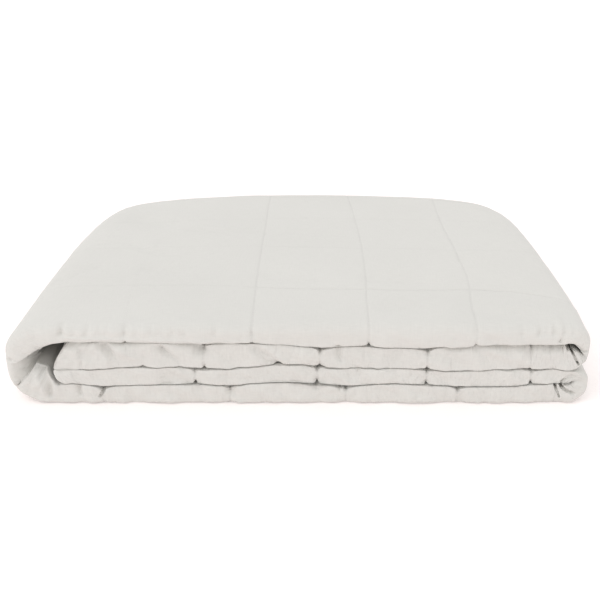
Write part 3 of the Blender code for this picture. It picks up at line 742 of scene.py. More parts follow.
def settle(x, y, z):
    """The pile sinks towards its sides and back, and its corners are rounded."""
    side = np.clip((np.abs(x) - SINK_FROM) / (HALF_WIDE - SINK_FROM), 0, 1)
    back = np.clip(y / HALF_DEEP, 0, 1)
    z = z * (1 - SIDE_SINK * side ** 2 - BACK_SINK * back ** 2 - CORNER_SINK * side ** 3 * back ** 2)
    wide = np.where(x < 0, CORNER_WIDE_LEFT, CORNER_WIDE_RIGHT)
    turned = np.clip((np.abs(x) - HALF_WIDE + wide) / wide, 0, CORNER_MOST)
    corner = np.where(x < 0, CORNER_DEEP_LEFT, CORNER_DEEP_RIGHT)
    bow = np.where(x < 0, BACK_BOW_LEFT, BACK_BOW_RIGHT)
    drawn = bow * (x / HALF_WIDE) ** 2 + corner * (1 - np.sqrt(1 - turned ** 2))
    front = np.clip(-y / HALF_DEEP, 0, 1)
    x = x * (1 - BACK_NARROW * ramp(y, -NARROW_OVER * HALF_DEEP, NARROW_OVER * HALF_DEEP))
    x = x - RIGHT_TUCK * ramp(x, SINK_FROM, HALF_WIDE) * ramp(front, TUCK_FROM, TUCK_TO)
    return x, y - drawn * back ** 2 + FRONT_BOW * side ** 2 * front ** 2, z


def shown(u, v):
    """1 where the quilting shows: on the top, around the turns and on the front rims; 0 inside."""
    ends = course_flat()
    outside = np.zeros_like(u)
    for low, high in ((ends[1], ends[4]), (ends[5], ends[6])):
        outside = np.maximum(outside, ramp(u, low - HIDDEN_FADE, low) * ramp(-u, -high - HIDDEN_FADE, -high))
    rim = ramp(v, RIM_START - HIDDEN_FADE, RIM_START)
    return np.maximum(outside, rim) * ramp(-v, -RIM_END - HIDDEN_FADE, -RIM_END)


def drift(x, y, table, knots):
    """Shift of the top's seams at every point: across the table's seams by x, along them by y."""
    rows = np.array([np.interp(y, knots, shifts) for _, shifts in table])
    places = np.array([place for place, _ in table])
    upper = np.clip(np.searchsorted(places, x), 1, len(places) - 1)
    share = np.clip((x - places[upper - 1]) / (places[upper] - places[upper - 1]), 0, 1)
    index = np.arange(len(x))
    return rows[upper - 1, index] * (1 - share) + rows[upper, index] * share


def notch(x, y, z, u, sizes):
    """Cuts into each layer's front rim at its edges where a crosswise seam goes round it."""
    ends = course_flat()
    front = 1 - ramp(y, -HALF_DEEP, -HALF_DEEP + NOTCH_REACH)
    cuts = [(name, place, 1, over, under) for name, place, _, over, under in SEAMS] + list(NICKS)
    for part, low, high in zip(COURSE, ends, ends[1:]):
        if part["centre"] is not None:
            continue
        top, bottom = max(part["inner_0"], part["outer_0"]), min(part["inner_0"], part["outer_0"])
        middle, half = (top + bottom) / 2, (top - bottom) / 2
        here = np.where((u >= low) & (u <= high), front, 0)
        height = np.clip((z - middle) / half, -1, 1)
        for name, place, wide, over, under in cuts:
            if name != part["name"]:
                continue
            edge = np.where(height > 0, over, under) * here
            away = np.abs(x - place) / wide
            broad = edge * height ** 2 * np.exp(-away / sizes.notch_wide)
            sharp = edge * np.abs(height) ** GROOVE_POWER * np.exp(-((away / sizes.groove_wide) ** 2))
            z = z - (broad * sizes.notch_pinch + sharp * sizes.groove_pinch) * (z - middle)
            y = y + sharp * sizes.notch_back * np.abs(height)
    return y, z


def shape_ends(x, y, z, level, u, side):
    """Shapes the pile's two ends at the front: the cloth's ends, the open loop and the tight folds."""
    ends = course_flat()
    front = 1 - ramp(y, -HALF_DEEP, -HALF_DEEP + END_REACH)
    inner_end = (u < ends[1]) | (u > ends[6])
    heights, shifts = zip(*END_OUTLINE)
    near_end = ramp(-x, ENDS_FROM, ENDS_TO) * front
    x = x + np.where(inner_end, np.interp(z, heights, shifts) * near_end, 0)
    joined = np.where(inner_end & (side > 0), ramp(-x, JOIN_FROM, JOIN_TO) * front, 0)
    joined = joined * np.exp(-(((z - HEIGHT_MIDDLE) / JOIN_HIGH) ** 2)) * ramp(-y, *JOIN_FRONT)
    slit = np.exp(-(((z - HEIGHT_MIDDLE) / JOIN_SLIT) ** 2))
    y = y + joined * (-HALF_DEEP + JOIN_BACK - y)
    z = z + joined * slit * JOIN_SHARE * (HEIGHT_MIDDLE - z)
    facet_high = np.interp(x, *zip(*FACET_TOP))
    facet_low = np.interp(x, *zip(*FACET_FOOT))
    facet = ramp(z, facet_low, facet_low + FACET_EDGE) * ramp(-z, -facet_high, -facet_high + FACET_EDGE)
    on_loop = (u > ends[3]) & (u < ends[4]) & (x < FACET_TOP[-1][0])
    drawn = FACET_BACK * np.clip((x - FACET_FROM) / (FACET_FOOT[-1][0] - FACET_FROM), 0, 1)
    y = y + np.where(on_loop, drawn * facet * front, 0)
    near = 1 - ramp(y, -HALF_DEEP + TONGUE["flat"], -HALF_DEEP + TONGUE["reach"])
    wide = np.where(x < TONGUE["x"], TONGUE["wide_left"], TONGUE["wide_right"])
    rise = TONGUE["high"] * np.exp(-np.abs((x - TONGUE["x"]) / wide) ** 3) * near
    low = np.clip((TONGUE["top"] - z) / (TONGUE["top"] - HEIGHT_LOW), 0, 1)
    on_floor = (u > ends[3]) & (u < ends[5]) & (x < TONGUE["until"])
    z = z + np.where(on_floor, rise * low * np.clip(1 - level, 0, 1) ** 2, 0)
    for number, part in enumerate(COURSE):
        if part["name"] not in TIPS:
            continue
        tip = TIPS[part["name"]]
        low, high = ends[number], ends[number + 1]
        sweep = math.pi * (np.clip((u - low) / (high - low), 0, 1) - 0.5)
        near = 1 - ramp(y, -HALF_DEEP + tip["reach"] / 3, -HALF_DEEP + tip["reach"])
        near = near * np.clip(1 - level, 0, 1)
        turning = (u > low) & (u < high)
        x = x + np.where(turning, tip["right"] * np.cos(sweep) * near, 0)
        parted = np.where(sweep > 0, tip["over"], -tip["under"]) * (1 - np.cos(sweep))
        parted = parted * ramp(x, part["centre"], part["centre"] + tip["run"])
        z = z + np.where(turning, (parted + tip["up"] * np.cos(sweep) ** 2) * near, 0)
    return x, y, z


def fold(u, v, side, sizes):
    """Folded place of every point of the flat cloth."""
    flat, far = seam_places()
    ends = course_flat()
    place = along(np.interp(u, flat, far))
    high = np.hypot(place["x_out"] - place["x_in"], place["z_out"] - place["z_in"])
    deep = quilting(u, v, place["x_out"], sizes) * shown(u, v)
    for _ in range(2):
        y, level = across(u, v, side, place, deep / high)
        z = place["z_in"] + (place["z_out"] - place["z_in"]) * level
        deep = deep * np.clip(z / FLOOR_FADE, 0, 1)
    x = place["x_in"] + (place["x_out"] - place["x_in"]) * level
    y, z = notch(x, y, z, u, sizes)
    x, y, z = shape_ends(x, y, z, level, u, side)
    x_shift = drift(x, y, CROSS_DRIFT, DRIFT_DEPTHS)
    y_shift = drift(y, x, LONG_DRIFT, DRIFT_PLACES)
    outer = (side > 0) & (v < RIM_END + RIM_REACH)
    lift = np.where(outer, wave(x, y, z), 0)
    x = x + np.where((u > ends[2]) & (u < ends[3]), x_shift, 0)
    y = y + np.where(v < RIM_START, y_shift * ramp(u, ends[1], ends[2]) * ramp(-u, -ends[4], -ends[3]), 0)
    return settle(x, y, z + lift)


def line_near(a, b, line):
    """Distance from every point to a line of points, and how far along the line that is, 0 to 1."""
    points = np.array(line)
    steps = np.hypot(*np.diff(points, axis=0).T)
    passed = np.concatenate([[0], np.cumsum(steps)]) / steps.sum()
    best, spot = np.full(a.shape, np.inf), np.zeros(a.shape)
    for start, end, from_share, to_share in zip(points, points[1:], passed, passed[1:]):
        step = end - start
        share = np.clip(((a - start[0]) * step[0] + (b - start[1]) * step[1]) / (step @ step), 0, 1)
        away = np.hypot(a - start[0] - share * step[0], b - start[1] - share * step[1])
        nearer = away < best
        best = np.where(nearer, away, best)
        spot = np.where(nearer, from_share + (to_share - from_share) * share, spot)
    return best, spot


def front_relief(places, normals, u, v, side, sizes):
    """How far each outer point of the front is drawn back by creases, gathers and faint ribs."""
    x, y, z = places.T
    ends = course_flat()
    visible = np.where(side > 0.5, shown(u, v), 0) * ramp(-y, *FRONT_DEPTHS)
    facing = ramp(-normals[:, 1], *FACING_FRONT) * visible
    foremost = visible * ramp(-y, *FOREMOST_DEPTHS)
    runs = {part["name"]: (u >= low) & (u <= high) for part, low, high in zip(COURSE, ends, ends[1:])}
    back = np.zeros_like(x)
    for line, (wide_0, wide_1), (deep_0, deep_1), only in FRONT_CREASES:
        away, spot = line_near(x, z, line)
        here = deep_0 + (deep_1 - deep_0) * spot
        wide = wide_0 + (wide_1 - wide_0) * spot
        moved = foremost * np.any([runs[name] for name in only], axis=0) if only else facing
        power = CUT_STEEP if deep_0 > CUT_DEEP else CUT_SOFT
        back += sizes.wrinkle * moved * here * np.exp(-((away / wide) ** power))
    band = ramp(z, GATHER_LOW, GATHER_LOW + GATHER_IN) * ramp(-z, -GATHER_HIGH, -GATHER_HIGH + GATHER_OUT)
    for place, gather in GATHERS:
        slant = place + GATHER_SLANT * (z - GATHER_LOW)
        back += sizes.wrinkle * band * visible * gather * np.exp(-(((x - slant) / GATHER_WIDE) ** 2))
    rib, crumple = np.zeros_like(x), np.zeros_like(x)
    for share, by_u, by_v, layer in RIB_NOISE:
        rib += share * noise_at(u * by_u, v * by_v, np.float64(layer))
    for share, by_x, slope, by_z, layer in CRUMPLE_NOISE:
        crumple += share * noise_at(x * by_x + z * slope, z * by_z, np.float64(layer))
    rib = rib * np.interp(z, RIM_HEIGHTS, RIB_SHARES)
    crumple = (crumple + CRUMPLE_BACK) * np.interp(z, RIM_HEIGHTS, CRUMPLE_SHARES)
    return back + (sizes.ribs * rib + sizes.crumple * crumple) * facing


def relief(places, normals, u, v, side, sizes):
    """How far each outer point is pressed in along its normal by wrinkles, puckers and unevenness."""
    x, y, z = places.T
    visible = np.where(side > 0.5, shown(u, v), 0)
    upward = ramp(normals[:, 2], *FACING_UP) * ramp(z, HEIGHT_HIGH, HEIGHT_HIGH + TOP_FADE) * visible
    deep = np.zeros_like(x)
    for line, wide, depth in TOP_WRINKLES:
        away, _ = line_near(x, y, line)
        deep += sizes.wrinkle * upward * depth * np.exp(-((away / wide) ** 2))
    _, away_u = nearest_seam(u, BORDER_LONG, CELL_LONG, CELLS_LONG)
    _, away_v = nearest_seam(v, BORDER_WIDE, CELL_WIDE, CELLS_WIDE)
    puckers = np.zeros_like(x)
    for away, by_u, by_v, layer in ((away_u, PUCKER_ACROSS, PUCKER_ALONG, 0.5),
                                    (away_v, PUCKER_ALONG, PUCKER_ACROSS, 7.5)):
        puckers += np.exp(-((away / PUCKER_WIDE) ** 2)) * noise_at(u * by_u, v * by_v, np.float64(layer))
    deep += sizes.pucker * puckers * visible
    deep += sizes.swell * noise_at(x * SWELL_PITCH, y * SWELL_PITCH, np.float64(1.5)) * upward
    return deep * np.clip(z / FLOOR_FADE, 0, 1)


def stations(lines, folds):
    """Grid lines of the flat cloth: its seams, and steps along each fold."""
    chosen = []
    for value in sorted(lines):
        if all(not low - STATION_APART < value < high + STATION_APART for low, high, _ in folds):
            chosen.append(value)
    for low, high, steps in folds:
        chosen.extend(low + (high - low) * k / steps for k in range(steps + 1))
    return sorted(chosen)


def length_stations():
    """Grid lines along u."""
    ends = course_flat()
    lines = [0, *(BORDER_LONG + CELL_LONG * k for k in range(CELLS_LONG + 1)), LENGTH]
    turns = []
    for part, low, high in zip(COURSE, ends, ends[1:]):
        if part["centre"] is not None:
            turns.append((low, high, LOOP_STEPS if part["name"] == "loop" else TURN_STEPS))
    return stations(lines, turns)


def width_stations():
    """Grid lines along v."""
    seams = [BORDER_WIDE + CELL_WIDE * k for k in range(CELLS_WIDE + 1)]
    near = [RIM_START - RIM_REACH, RIM_END + RIM_REACH, BACK_FOLD_START - BACK_REACH,
            BACK_FOLD_END + BACK_REACH, WIDTH - BACK_REACH, BACK_REACH]
    folds = [(RIM_START, RIM_END, RIM_STEPS), (BACK_FOLD_START, BACK_FOLD_END, FOLD_STEPS),
             (INNER_FOLD_START, INNER_FOLD_END, FOLD_STEPS)]
    return stations([0, *seams, *near, WIDTH], folds)


def flat_cloth(bm):
    """The blanket laid out flat, as a closed slab with its outer skin up and rounded hems."""
    long_lines = spread_apart(length_stations(), BORDER_LONG, CELL_LONG, CELLS_LONG)
    wide_lines = spread_apart(width_stations(), BORDER_WIDE, CELL_WIDE, CELLS_WIDE)
    bmesh.ops.create_grid(bm, x_segments=len(long_lines) - 1, y_segments=len(wide_lines) - 1, size=0.5)
    for vert in bm.verts:
        column = round((vert.co.x + 0.5) * (len(long_lines) - 1))
        row = round((vert.co.y + 0.5) * (len(wide_lines) - 1))
        vert.co = (long_lines[column], wide_lines[row], SHEET_DEEP)
    bmesh.ops.solidify(bm, geom=bm.faces[:], thickness=SHEET_DEEP)
    bmesh.ops.recalc_face_normals(bm, faces=bm.faces[:])
    bm.normal_update()
    rims = [edge for edge in bm.edges
            if edge.calc_face_angle() > HEM_ANGLE
            and abs(edge.verts[0].co.z - edge.verts[1].co.z) < SHEET_DEEP / 2]
    bmesh.ops.bevel(bm, geom=rims, offset=HEM_ROUND, offset_type="OFFSET", segments=2, profile=0.5,
                    affect="EDGES", material=-1, clamp_overlap=True)
    # Solidify links faces in an order that changes from run to run: a mesh read back has a fixed one
    flat = bpy.data.meshes.new("flat_cloth")
    bm.to_mesh(flat)
    bm.clear()
    bm.from_mesh(flat)
    bpy.data.meshes.remove(flat)
    bm.normal_update()


def refine(bm, chosen, axis, step):
    """Cuts the chosen outer faces' edges along one axis down to the given step."""
    # A dict keeps the edges in their order, which a set of them would change from run to run
    edges = {}
    for face in bm.faces:
        if face.normal.z < 0.5 or not chosen(face.calc_center_median()):
            continue
        for edge in face.edges:
            run = abs(edge.verts[0].co[axis] - edge.verts[1].co[axis])
            cuts = math.ceil(run / step - 0.01) - 1
            if cuts > 0:
                edges.setdefault(cuts, {})[edge] = True
    for cuts, group in sorted(edges.items()):
        bmesh.ops.subdivide_edges(bm, edges=list(group), cuts=cuts, use_grid_fill=True)


def cut_finer(bm):
    """Cuts the flat cloth finely on the top, the turns, the rims and the back folds."""
    ends = spread_apart(course_flat(), BORDER_LONG, CELL_LONG, CELLS_LONG)

    def on_top(place):
        turned = ends[1] < place.x < ends[4] or ends[5] < place.x < ends[6]
        return turned and place.y < RIM_START - RIM_REACH

    def on_rim(place):
        return RIM_START - RIM_REACH < place.y < RIM_END + RIM_REACH

    def on_front(place):
        return RIM_START - FRONT_REACH < place.y < RIM_END + FRONT_REACH

    def on_turned_rim(place):
        turned = any(ends[k] < place.x < ends[k + 1] for k in (1, 3, 5))
        beside = any(ends[k] - TURN_REACH < place.x < ends[k + 1] + TURN_REACH for k in (1, 3, 5))
        return on_rim(place) and turned or on_front(place) and beside

    def on_back(place):
        return abs(place.y - BACK_FOLD_START) < BACK_REACH or WIDTH - place.y < BACK_REACH

    def inside_loop(place):
        return ends[3] < place.x < ends[4] and RIM_END < place.y < BACK_FOLD_START

    refine(bm, lambda place: RIM_START < place.y < RIM_END, 1, STEP_ARC)
    refine(bm, on_rim, 1, STEP_RIM)
    refine(bm, on_top, 1, STEP_TOP)
    refine(bm, on_back, 1, STEP_BACK)
    refine(bm, inside_loop, 1, STEP_INSIDE)
    refine(bm, lambda place: on_top(place) or on_rim(place), 0, STEP_TOP)
    refine(bm, on_front, 0, STEP_FRONT)
    refine(bm, on_turned_rim, 0, STEP_TURN_RIM)
    refine(bm, lambda place: on_back(place) or inside_loop(place), 0, STEP_BACK)


def make_cloth(sizes):
    """The whole blanket as one folded piece, with its flat lengths as its UV map."""
    bm = bmesh.new()
    flat_cloth(bm)
    cut_finer(bm)
    bmesh.ops.poke(bm, faces=[face for face in bm.faces if len(face.verts) > 4])
    bmesh.ops.triangulate(bm, faces=bm.faces[:])
    places = np.array([vert.co for vert in bm.verts])
    u = draw_together(places[:, 0], BORDER_LONG, CELL_LONG, CELLS_LONG)
    v = draw_together(places[:, 1], BORDER_WIDE, CELL_WIDE, CELLS_WIDE)
    side = np.clip(places[:, 2] / SHEET_DEEP * 2 - 1, -1, 1)
    folded = np.stack(fold(u, v, side, sizes), axis=1)
    low, high = folded.min(axis=0), folded.max(axis=0)
    folded[:, :2] += ((CAD_LOW + CAD_HIGH) / 2 - (low + high) / 2)[:2]
    folded[:, 2] += CAD_LOW[2] - low[2]
    for vert, place in zip(bm.verts, folded):
        vert.co = place
    bm.normal_update()
    normals = np.array([vert.normal for vert in bm.verts])
    folded -= normals * relief(folded, normals, u, v, side, sizes)[:, None]
    folded[:, 1] += front_relief(folded, normals, u, v, side, sizes)
    uv_layer = bm.loops.layers.uv.new("flat")
    for vert, place, flat_u, flat_v in zip(bm.verts, folded, u, v):
        vert.co = place
        for loop in vert.link_loops:
            loop[uv_layer].uv = (flat_u, flat_v)
    bm.normal_update()
    for face in bm.faces:
        face.smooth = True
    for edge in bm.edges:
        edge.smooth = edge.calc_face_angle() < SHARP_ANGLE
    mesh = bpy.data.meshes.new("quilted_cloth")
    bm.to_mesh(mesh)
    bm.free()
    cloth = bpy.data.objects.new("quilted_cloth", mesh)
    bpy.context.scene.collection.objects.link(cloth)
    return cloth


class Nodes:
    """Adds nodes to a tree in a row and links them."""

    def __init__(self, tree, column=0):
        self.tree = tree
        self.column = column

    def add(self, kind, **settings):
        """A new node, to the right of the last one."""
        node = self.tree.nodes.new(kind)
        node.location = (self.column, 0)
        self.column += 180
        for name, value in settings.items():
            setattr(node, name, value)
        return node

    def put(self, socket, value):
        """Gives a socket a link or a plain value."""
        if isinstance(value, bpy.types.NodeSocket):
            self.tree.links.new(value, socket)
        else:
            socket.default_value = value

    def fill(self, node, values):
        """Gives a node's named inputs their links or values."""
        for name, value in values.items():
            self.put(node.inputs[name], value)
        return node

    def math(self, operation, *values):
        """The result of one sum."""
        node = self.add("ShaderNodeMath", operation=operation)
        for socket, value in zip(node.inputs, values):
            self.put(socket, value)
        return node.outputs[0]

    def rest(self, value):
        """What a share leaves of one whole."""
        return self.math("SUBTRACT", 1.0, value)

    def step(self, value, low, high):
        """Smooth step from 0 at low to 1 at high."""
        node = self.add("ShaderNodeMapRange", interpolation_type="SMOOTHSTEP")
        return self.fill(node, {"Value": value, "From Min": low, "From Max": high}).outputs["Result"]

    def split(self, vector):
        """The three numbers of a vector."""
        node = self.add("ShaderNodeSeparateXYZ")
        self.put(node.inputs[0], vector)
        return node.outputs

    def flat_noise(self, vector, scale, detail):
        """Noise on the flat cloth, with its bends to the metre along each axis."""
        mapping = self.fill(self.add("ShaderNodeMapping"), {"Vector": vector, "Scale": scale})
        texture = self.add("ShaderNodeTexNoise", noise_dimensions="2D")
        given = {"Vector": mapping.outputs[0], "Scale": 1.0, "Detail": detail}
        return self.fill(texture, given).outputs["Fac"]

    def group(self, tree, values):
        """A shader group with its inputs given."""
        return self.fill(self.add("ShaderNodeGroup", node_tree=tree), values).outputs

    def bump(self, height, strength, distance, normal=None):
        """The normal of a low relief, on top of another one's where that is given."""
        given = {"Strength": strength, "Distance": distance, "Height": height}
        if normal is not None:
            given["Normal"] = normal
        return self.fill(self.add("ShaderNodeBump"), given).outputs["Normal"]


def new_group(name, numbers, outputs):
    """An empty shader group with a vector input, named number inputs and number outputs."""
    tree = bpy.data.node_groups.new(name, "ShaderNodeTree")
    tree.interface.new_socket("Vector", in_out="INPUT", socket_type="NodeSocketVector")
    for label in numbers:
        tree.interface.new_socket(label, in_out="INPUT", socket_type="NodeSocketFloat")
    for label in outputs:
        tree.interface.new_socket(label, in_out="OUTPUT", socket_type="NodeSocketFloat")
    nodes = Nodes(tree)
    return nodes, nodes.add("NodeGroupInput").outputs


def finish_group(nodes, values):
    """Links the group's results to its outputs."""
    nodes.fill(nodes.add("NodeGroupOutput"), values)
    return nodes.tree


def weave_group():
    """Plain weave with slubs: height of the yarns, and their uneven shade around 1."""
    nodes, given = new_group("cotton_weave", ("Pitch", "Slub"), ("Height", "Shade"))
    parts = nodes.split(given["Vector"])
    waves = []
    for axis in (0, 1):
        turns = nodes.math("DIVIDE", parts[axis], given["Pitch"])
        waves.append(nodes.math("SINE", nodes.math("MULTIPLY", turns, math.pi)))
    yarns = nodes.math("MULTIPLY", *waves)
    streaks = [nodes.flat_noise(given["Vector"], scale, 2.0) for scale in SLUB_SCALES]
    slubs = nodes.math("SUBTRACT", nodes.math("ADD", *streaks), 1.0)
    uneven = nodes.math("MULTIPLY", slubs, given["Slub"])
    height = nodes.math("ADD", nodes.math("MULTIPLY_ADD", yarns, 0.5, 0.5),
                        nodes.math("MULTIPLY", uneven, SLUB_HEIGHT))
    shade = nodes.math("MULTIPLY_ADD", uneven, SLUB_SHADE, 1.0)
    return finish_group(nodes, {"Height": height, "Shade": shade})


def stitch_group():
    """Quilting stitches along both rows of seams: the thread, the pinched line beside it, and height."""
    nodes, given = new_group(
        "quilting_stitches", ("Border long", "Border wide", "Cell long", "Cell wide", "Stitch", "Width",
                              "Long share", "Faint seam", "Faint share"), ("Thread", "Pinch", "Height"))
    parts = nodes.split(given["Vector"])
    threads, pinches, numbers = [], [], []
    for axis, border, cell in ((0, "Border long", "Cell long"), (1, "Border wide", "Cell wide")):
        cells = nodes.math("DIVIDE", nodes.math("SUBTRACT", parts[axis], given[border]), given[cell])
        numbers.append(nodes.math("ROUND", cells))
        apart = nodes.math("SUBTRACT", cells, numbers[-1])
        away = nodes.math("MULTIPLY", nodes.math("ABSOLUTE", apart), given[cell])
        edges = [nodes.math("MULTIPLY", given["Width"], share) for share in THREAD_EDGES]
        inside = nodes.rest(nodes.step(away, *edges))
        along_seam = nodes.math("FRACT", nodes.math("DIVIDE", parts[1 - axis], given["Stitch"]))
        middle = nodes.math("ABSOLUTE", nodes.math("SUBTRACT", along_seam, 0.5))
        threads.append(nodes.math("MULTIPLY", inside, nodes.rest(nodes.step(middle, *STITCH_ENDS))))
        reach = nodes.math("MULTIPLY", given["Width"], PINCH_WIDE)
        pinches.append(nodes.rest(nodes.step(away, 0.0, reach)))
    thread = nodes.math("MAXIMUM", *threads)
    faint = nodes.math("COMPARE", numbers[0], given["Faint seam"], 0.5)
    strong = nodes.rest(nodes.math("MULTIPLY", faint, nodes.rest(given["Faint share"])))
    # The pinch mask gives the stitches' relief and, in the cotton, the painted shade of the seams' creases.
    pinch = nodes.math("MAXIMUM", nodes.math("MULTIPLY", pinches[0], strong),
                       nodes.math("MULTIPLY", pinches[1], given["Long share"]))
    height = nodes.math("SUBTRACT", thread, nodes.math("MULTIPLY", pinch, PINCH_DEEP))
    return finish_group(nodes, {"Thread": thread, "Pinch": pinch, "Height": height})


def crumple_group():
    """Fine upright crumples of the cloth where it goes round the front rims."""
    nodes, given = new_group(
        "rim_crumples", ("Start", "End", "Top start", "Top end", "Top share"), ("Height",))
    parts = nodes.split(given["Vector"])
    crumples = nodes.flat_noise(given["Vector"], FINE_SCALE, 1.5)
    begun = nodes.step(parts[1], nodes.math("SUBTRACT", given["Start"], FINE_BEFORE),
                       nodes.math("ADD", given["Start"], FINE_IN))
    ended = nodes.step(parts[1], given["End"], nodes.math("ADD", given["End"], FINE_OUT))
    band = nodes.math("MULTIPLY", begun, nodes.rest(ended))
    after = nodes.step(parts[0], nodes.math("SUBTRACT", given["Top start"], FINE_TOP), given["Top start"])
    before = nodes.step(parts[0], given["Top end"], nodes.math("ADD", given["Top end"], FINE_TOP))
    top = nodes.math("MULTIPLY", after, nodes.rest(before))
    calm = nodes.math("MULTIPLY", top, nodes.rest(given["Top share"]))
    band = nodes.math("MULTIPLY", band, nodes.rest(calm))
    return finish_group(nodes, {"Height": nodes.math("MULTIPLY", crumples, band)})


def cotton(finish):
    """Off-white cotton with its weave, quilting thread and soft bloom, and painted shade along the stitches'
    pinched lines and, in part, in its broad patches of tone.
    """
    material = bpy.data.materials.new("cotton")
    material.use_nodes = True
    shader = material.node_tree.nodes["Principled BSDF"]
    nodes = Nodes(material.node_tree, -2400)
    flat = nodes.add("ShaderNodeUVMap", uv_map="flat").outputs["UV"]
    top_start, top_end = course_flat()[2:4]
    weave = nodes.group(weave_group(), {"Vector": flat, "Pitch": finish.weave_pitch, "Slub": finish.slub})
    stitches = nodes.group(stitch_group(), {
        "Vector": flat, "Border long": BORDER_LONG, "Border wide": BORDER_WIDE, "Cell long": CELL_LONG,
        "Cell wide": CELL_WIDE, "Stitch": finish.stitch, "Width": finish.stitch_wide,
        "Long share": finish.long_share, "Faint seam": FAINT_SEAM, "Faint share": finish.faint_share})
    crumples = nodes.group(crumple_group(), {
        "Vector": flat, "Start": RIM_START, "End": RIM_END, "Top start": top_start, "Top end": top_end,
        "Top share": finish.top_share})
    # Broad random patches of tone: partly uneven cloth, partly painted shade that stands in for soft shading
    # dips.
    patches = nodes.fill(nodes.add("ShaderNodeTexNoise"), {"Vector": flat, "Scale": PATCH_SCALE})
    patch_tone_and_shade = nodes.math("MULTIPLY_ADD", patches.outputs["Fac"], PATCH_SHADE, 1 - PATCH_SHADE / 2)
    # Painted shade: the cloth's colour is darkened along the stitches' pinched lines, as the shade in the
    # seams' creases.
    shade = nodes.math("MULTIPLY", nodes.math("MULTIPLY", weave["Shade"], patch_tone_and_shade),
                       nodes.math("MULTIPLY_ADD", stitches["Pinch"], -finish.pinch_painted_shade, 1.0))
    threads = nodes.fill(nodes.add("ShaderNodeMix", data_type="RGBA"), {
        "Factor": nodes.math("MULTIPLY", stitches["Thread"], THREAD_COVER),
        "A": finish.cloth, "B": finish.thread})
    shaded = nodes.add("ShaderNodeVectorMath", operation="SCALE")
    nodes.put(shaded.inputs[0], threads.outputs["Result"])
    nodes.put(shaded.inputs["Scale"], shade)
    fine = nodes.bump(weave["Height"], 0.45, finish.weave_deep)
    sewn = nodes.bump(stitches["Height"], 0.5, SEWN_DEEP, fine)
    nodes.fill(shader, {
        "Base Color": shaded.outputs[0],
        "Roughness": nodes.math("MULTIPLY_ADD", weave["Height"], -YARN_GLOSS, finish.rough + YARN_GLOSS / 2),
        "Normal": nodes.bump(crumples["Height"], 1.0, finish.crumple_deep, sewn),
        "Specular IOR Level": 0.25, "Sheen Weight": 0.12, "Sheen Roughness": 0.6})
    return material


def plain_floor(setup):
    """A wide white floor, which glows a little of itself: painted light that lightens the pile's shadow on
    it.
    """
    bm = bmesh.new()
    bmesh.ops.create_grid(bm, x_segments=1, y_segments=1, size=setup.floor_wide / 2)
    mesh = bpy.data.meshes.new("floor")
    bm.to_mesh(mesh)
    bm.free()
    material = bpy.data.materials.new("plain_floor")
    material.use_nodes = True
    shader = material.node_tree.nodes["Principled BSDF"]
    shader.inputs["Base Color"].default_value = setup.floor
    shader.inputs["Roughness"].default_value = 0.9
    shader.inputs["Specular IOR Level"].default_value = 0.1
    # Painted light: the floor's glow lightens the pile's shadow on it.
    shader.inputs["Emission Color"].default_value = (1, 1, 1, 1)
    shader.inputs["Emission Strength"].default_value = setup.floor_glow
    mesh.materials.append(material)
    floor = bpy.data.objects.new("floor", mesh)
    bpy.context.scene.collection.objects.link(floor)
    return floor


def key_light(strength, softness):
    """A broad light that reaches the whole floor alike."""
    light = bpy.data.lights.new("key_light", "SUN")
    light.energy = strength
    light.angle = softness
    lamp = bpy.data.objects.new("key_light", light)
    lamp.location = KEY_PLACE
    lamp.rotation_euler = (-Vector(KEY_PLACE)).to_track_quat("-Z", "Y").to_euler()
    bpy.context.scene.collection.objects.link(lamp)


def even_light(strength):
    """Even white light from all round."""
    world = bpy.data.worlds.new("room")
    bpy.context.scene.world = world
    world.use_nodes = True
    background = world.node_tree.nodes["Background"]
    background.inputs["Color"].default_value = (1, 1, 1, 1)
    background.inputs["Strength"].default_value = strength


def photo_camera(setup):
    """The camera at the photo's angle."""
    camera = bpy.data.cameras.new("camera")
    camera.lens = setup.lens
    camera.sensor_width = 36
    camera.shift_x = setup.shift
    viewer = bpy.data.objects.new("camera", camera)
    viewer.location = setup.camera
    viewer.rotation_euler = (math.pi / 2 - setup.pitch, 0, 0)
    bpy.context.scene.collection.objects.link(viewer)
    bpy.context.scene.camera = viewer


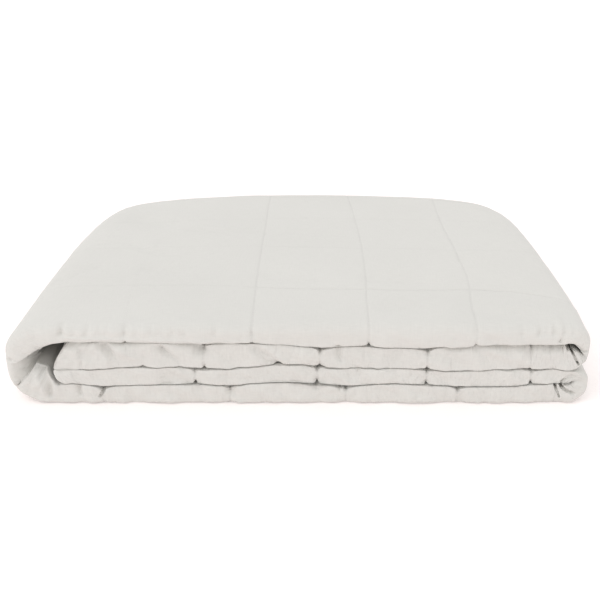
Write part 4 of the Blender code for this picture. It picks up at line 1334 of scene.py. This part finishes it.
class OBJECT_OT_blanket_cloth(bpy.types.Operator):
    """Make the folded quilted cloth in place of the plain solid"""

    bl_idname = "object.blanket_cloth"
    bl_label = "Make quilted cloth"

    def execute(self, context):
        cloth = make_cloth(context.scene.blanket_sizes)
        cloth.data.materials.append(cotton(context.scene.blanket_finish))
        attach(cloth, "root")
        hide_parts("blanket")
        return {"FINISHED"}


class OBJECT_OT_blanket_stage(bpy.types.Operator):
    """Make the floor, the lights and the camera"""

    bl_idname = "object.blanket_stage"
    bl_label = "Make stage"

    def execute(self, context):
        setup = context.scene.blanket_stage
        plain_floor(setup)
        even_light(setup.world)
        key_light(setup.key, setup.key_soft)
        photo_camera(setup)
        context.scene.view_settings.view_transform = "Standard"
        return {"FINISHED"}


class VIEW3D_PT_blanket(bpy.types.Panel):
    """Steps and sizes of the folded blanket"""

    bl_idname = "VIEW3D_PT_blanket"
    bl_label = "Folded Weighted Blanket"
    bl_space_type = "VIEW_3D"
    bl_region_type = "UI"
    bl_category = "Blanket"

    def draw(self, context):
        for settings, button in (("blanket_sizes", "object.blanket_cloth"), ("blanket_finish", None),
                                 ("blanket_stage", "object.blanket_stage")):
            group = getattr(context.scene, settings)
            box = self.layout.box()
            for name in group.__annotations__:
                box.prop(group, name)
            if button:
                box.operator(button)


CLASSES = (ClothSizes, CottonFinish, StageSetup, OBJECT_OT_blanket_cloth, OBJECT_OT_blanket_stage,
           VIEW3D_PT_blanket)


def register():
    """Registers the classes and hangs the settings on the scene."""
    for item in CLASSES:
        bpy.utils.register_class(item)
    bpy.types.Scene.blanket_sizes = bpy.props.PointerProperty(type=ClothSizes)
    bpy.types.Scene.blanket_finish = bpy.props.PointerProperty(type=CottonFinish)
    bpy.types.Scene.blanket_stage = bpy.props.PointerProperty(type=StageSetup)


def unregister():
    """Takes the settings and the classes away again."""
    del bpy.types.Scene.blanket_stage
    del bpy.types.Scene.blanket_finish
    del bpy.types.Scene.blanket_sizes
    for item in reversed(CLASSES):
        bpy.utils.unregister_class(item)


def main():
    """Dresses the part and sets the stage."""
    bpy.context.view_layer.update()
    register()
    bpy.ops.object.blanket_cloth()
    bpy.ops.object.blanket_stage()


if __name__ == "__main__":
    main()
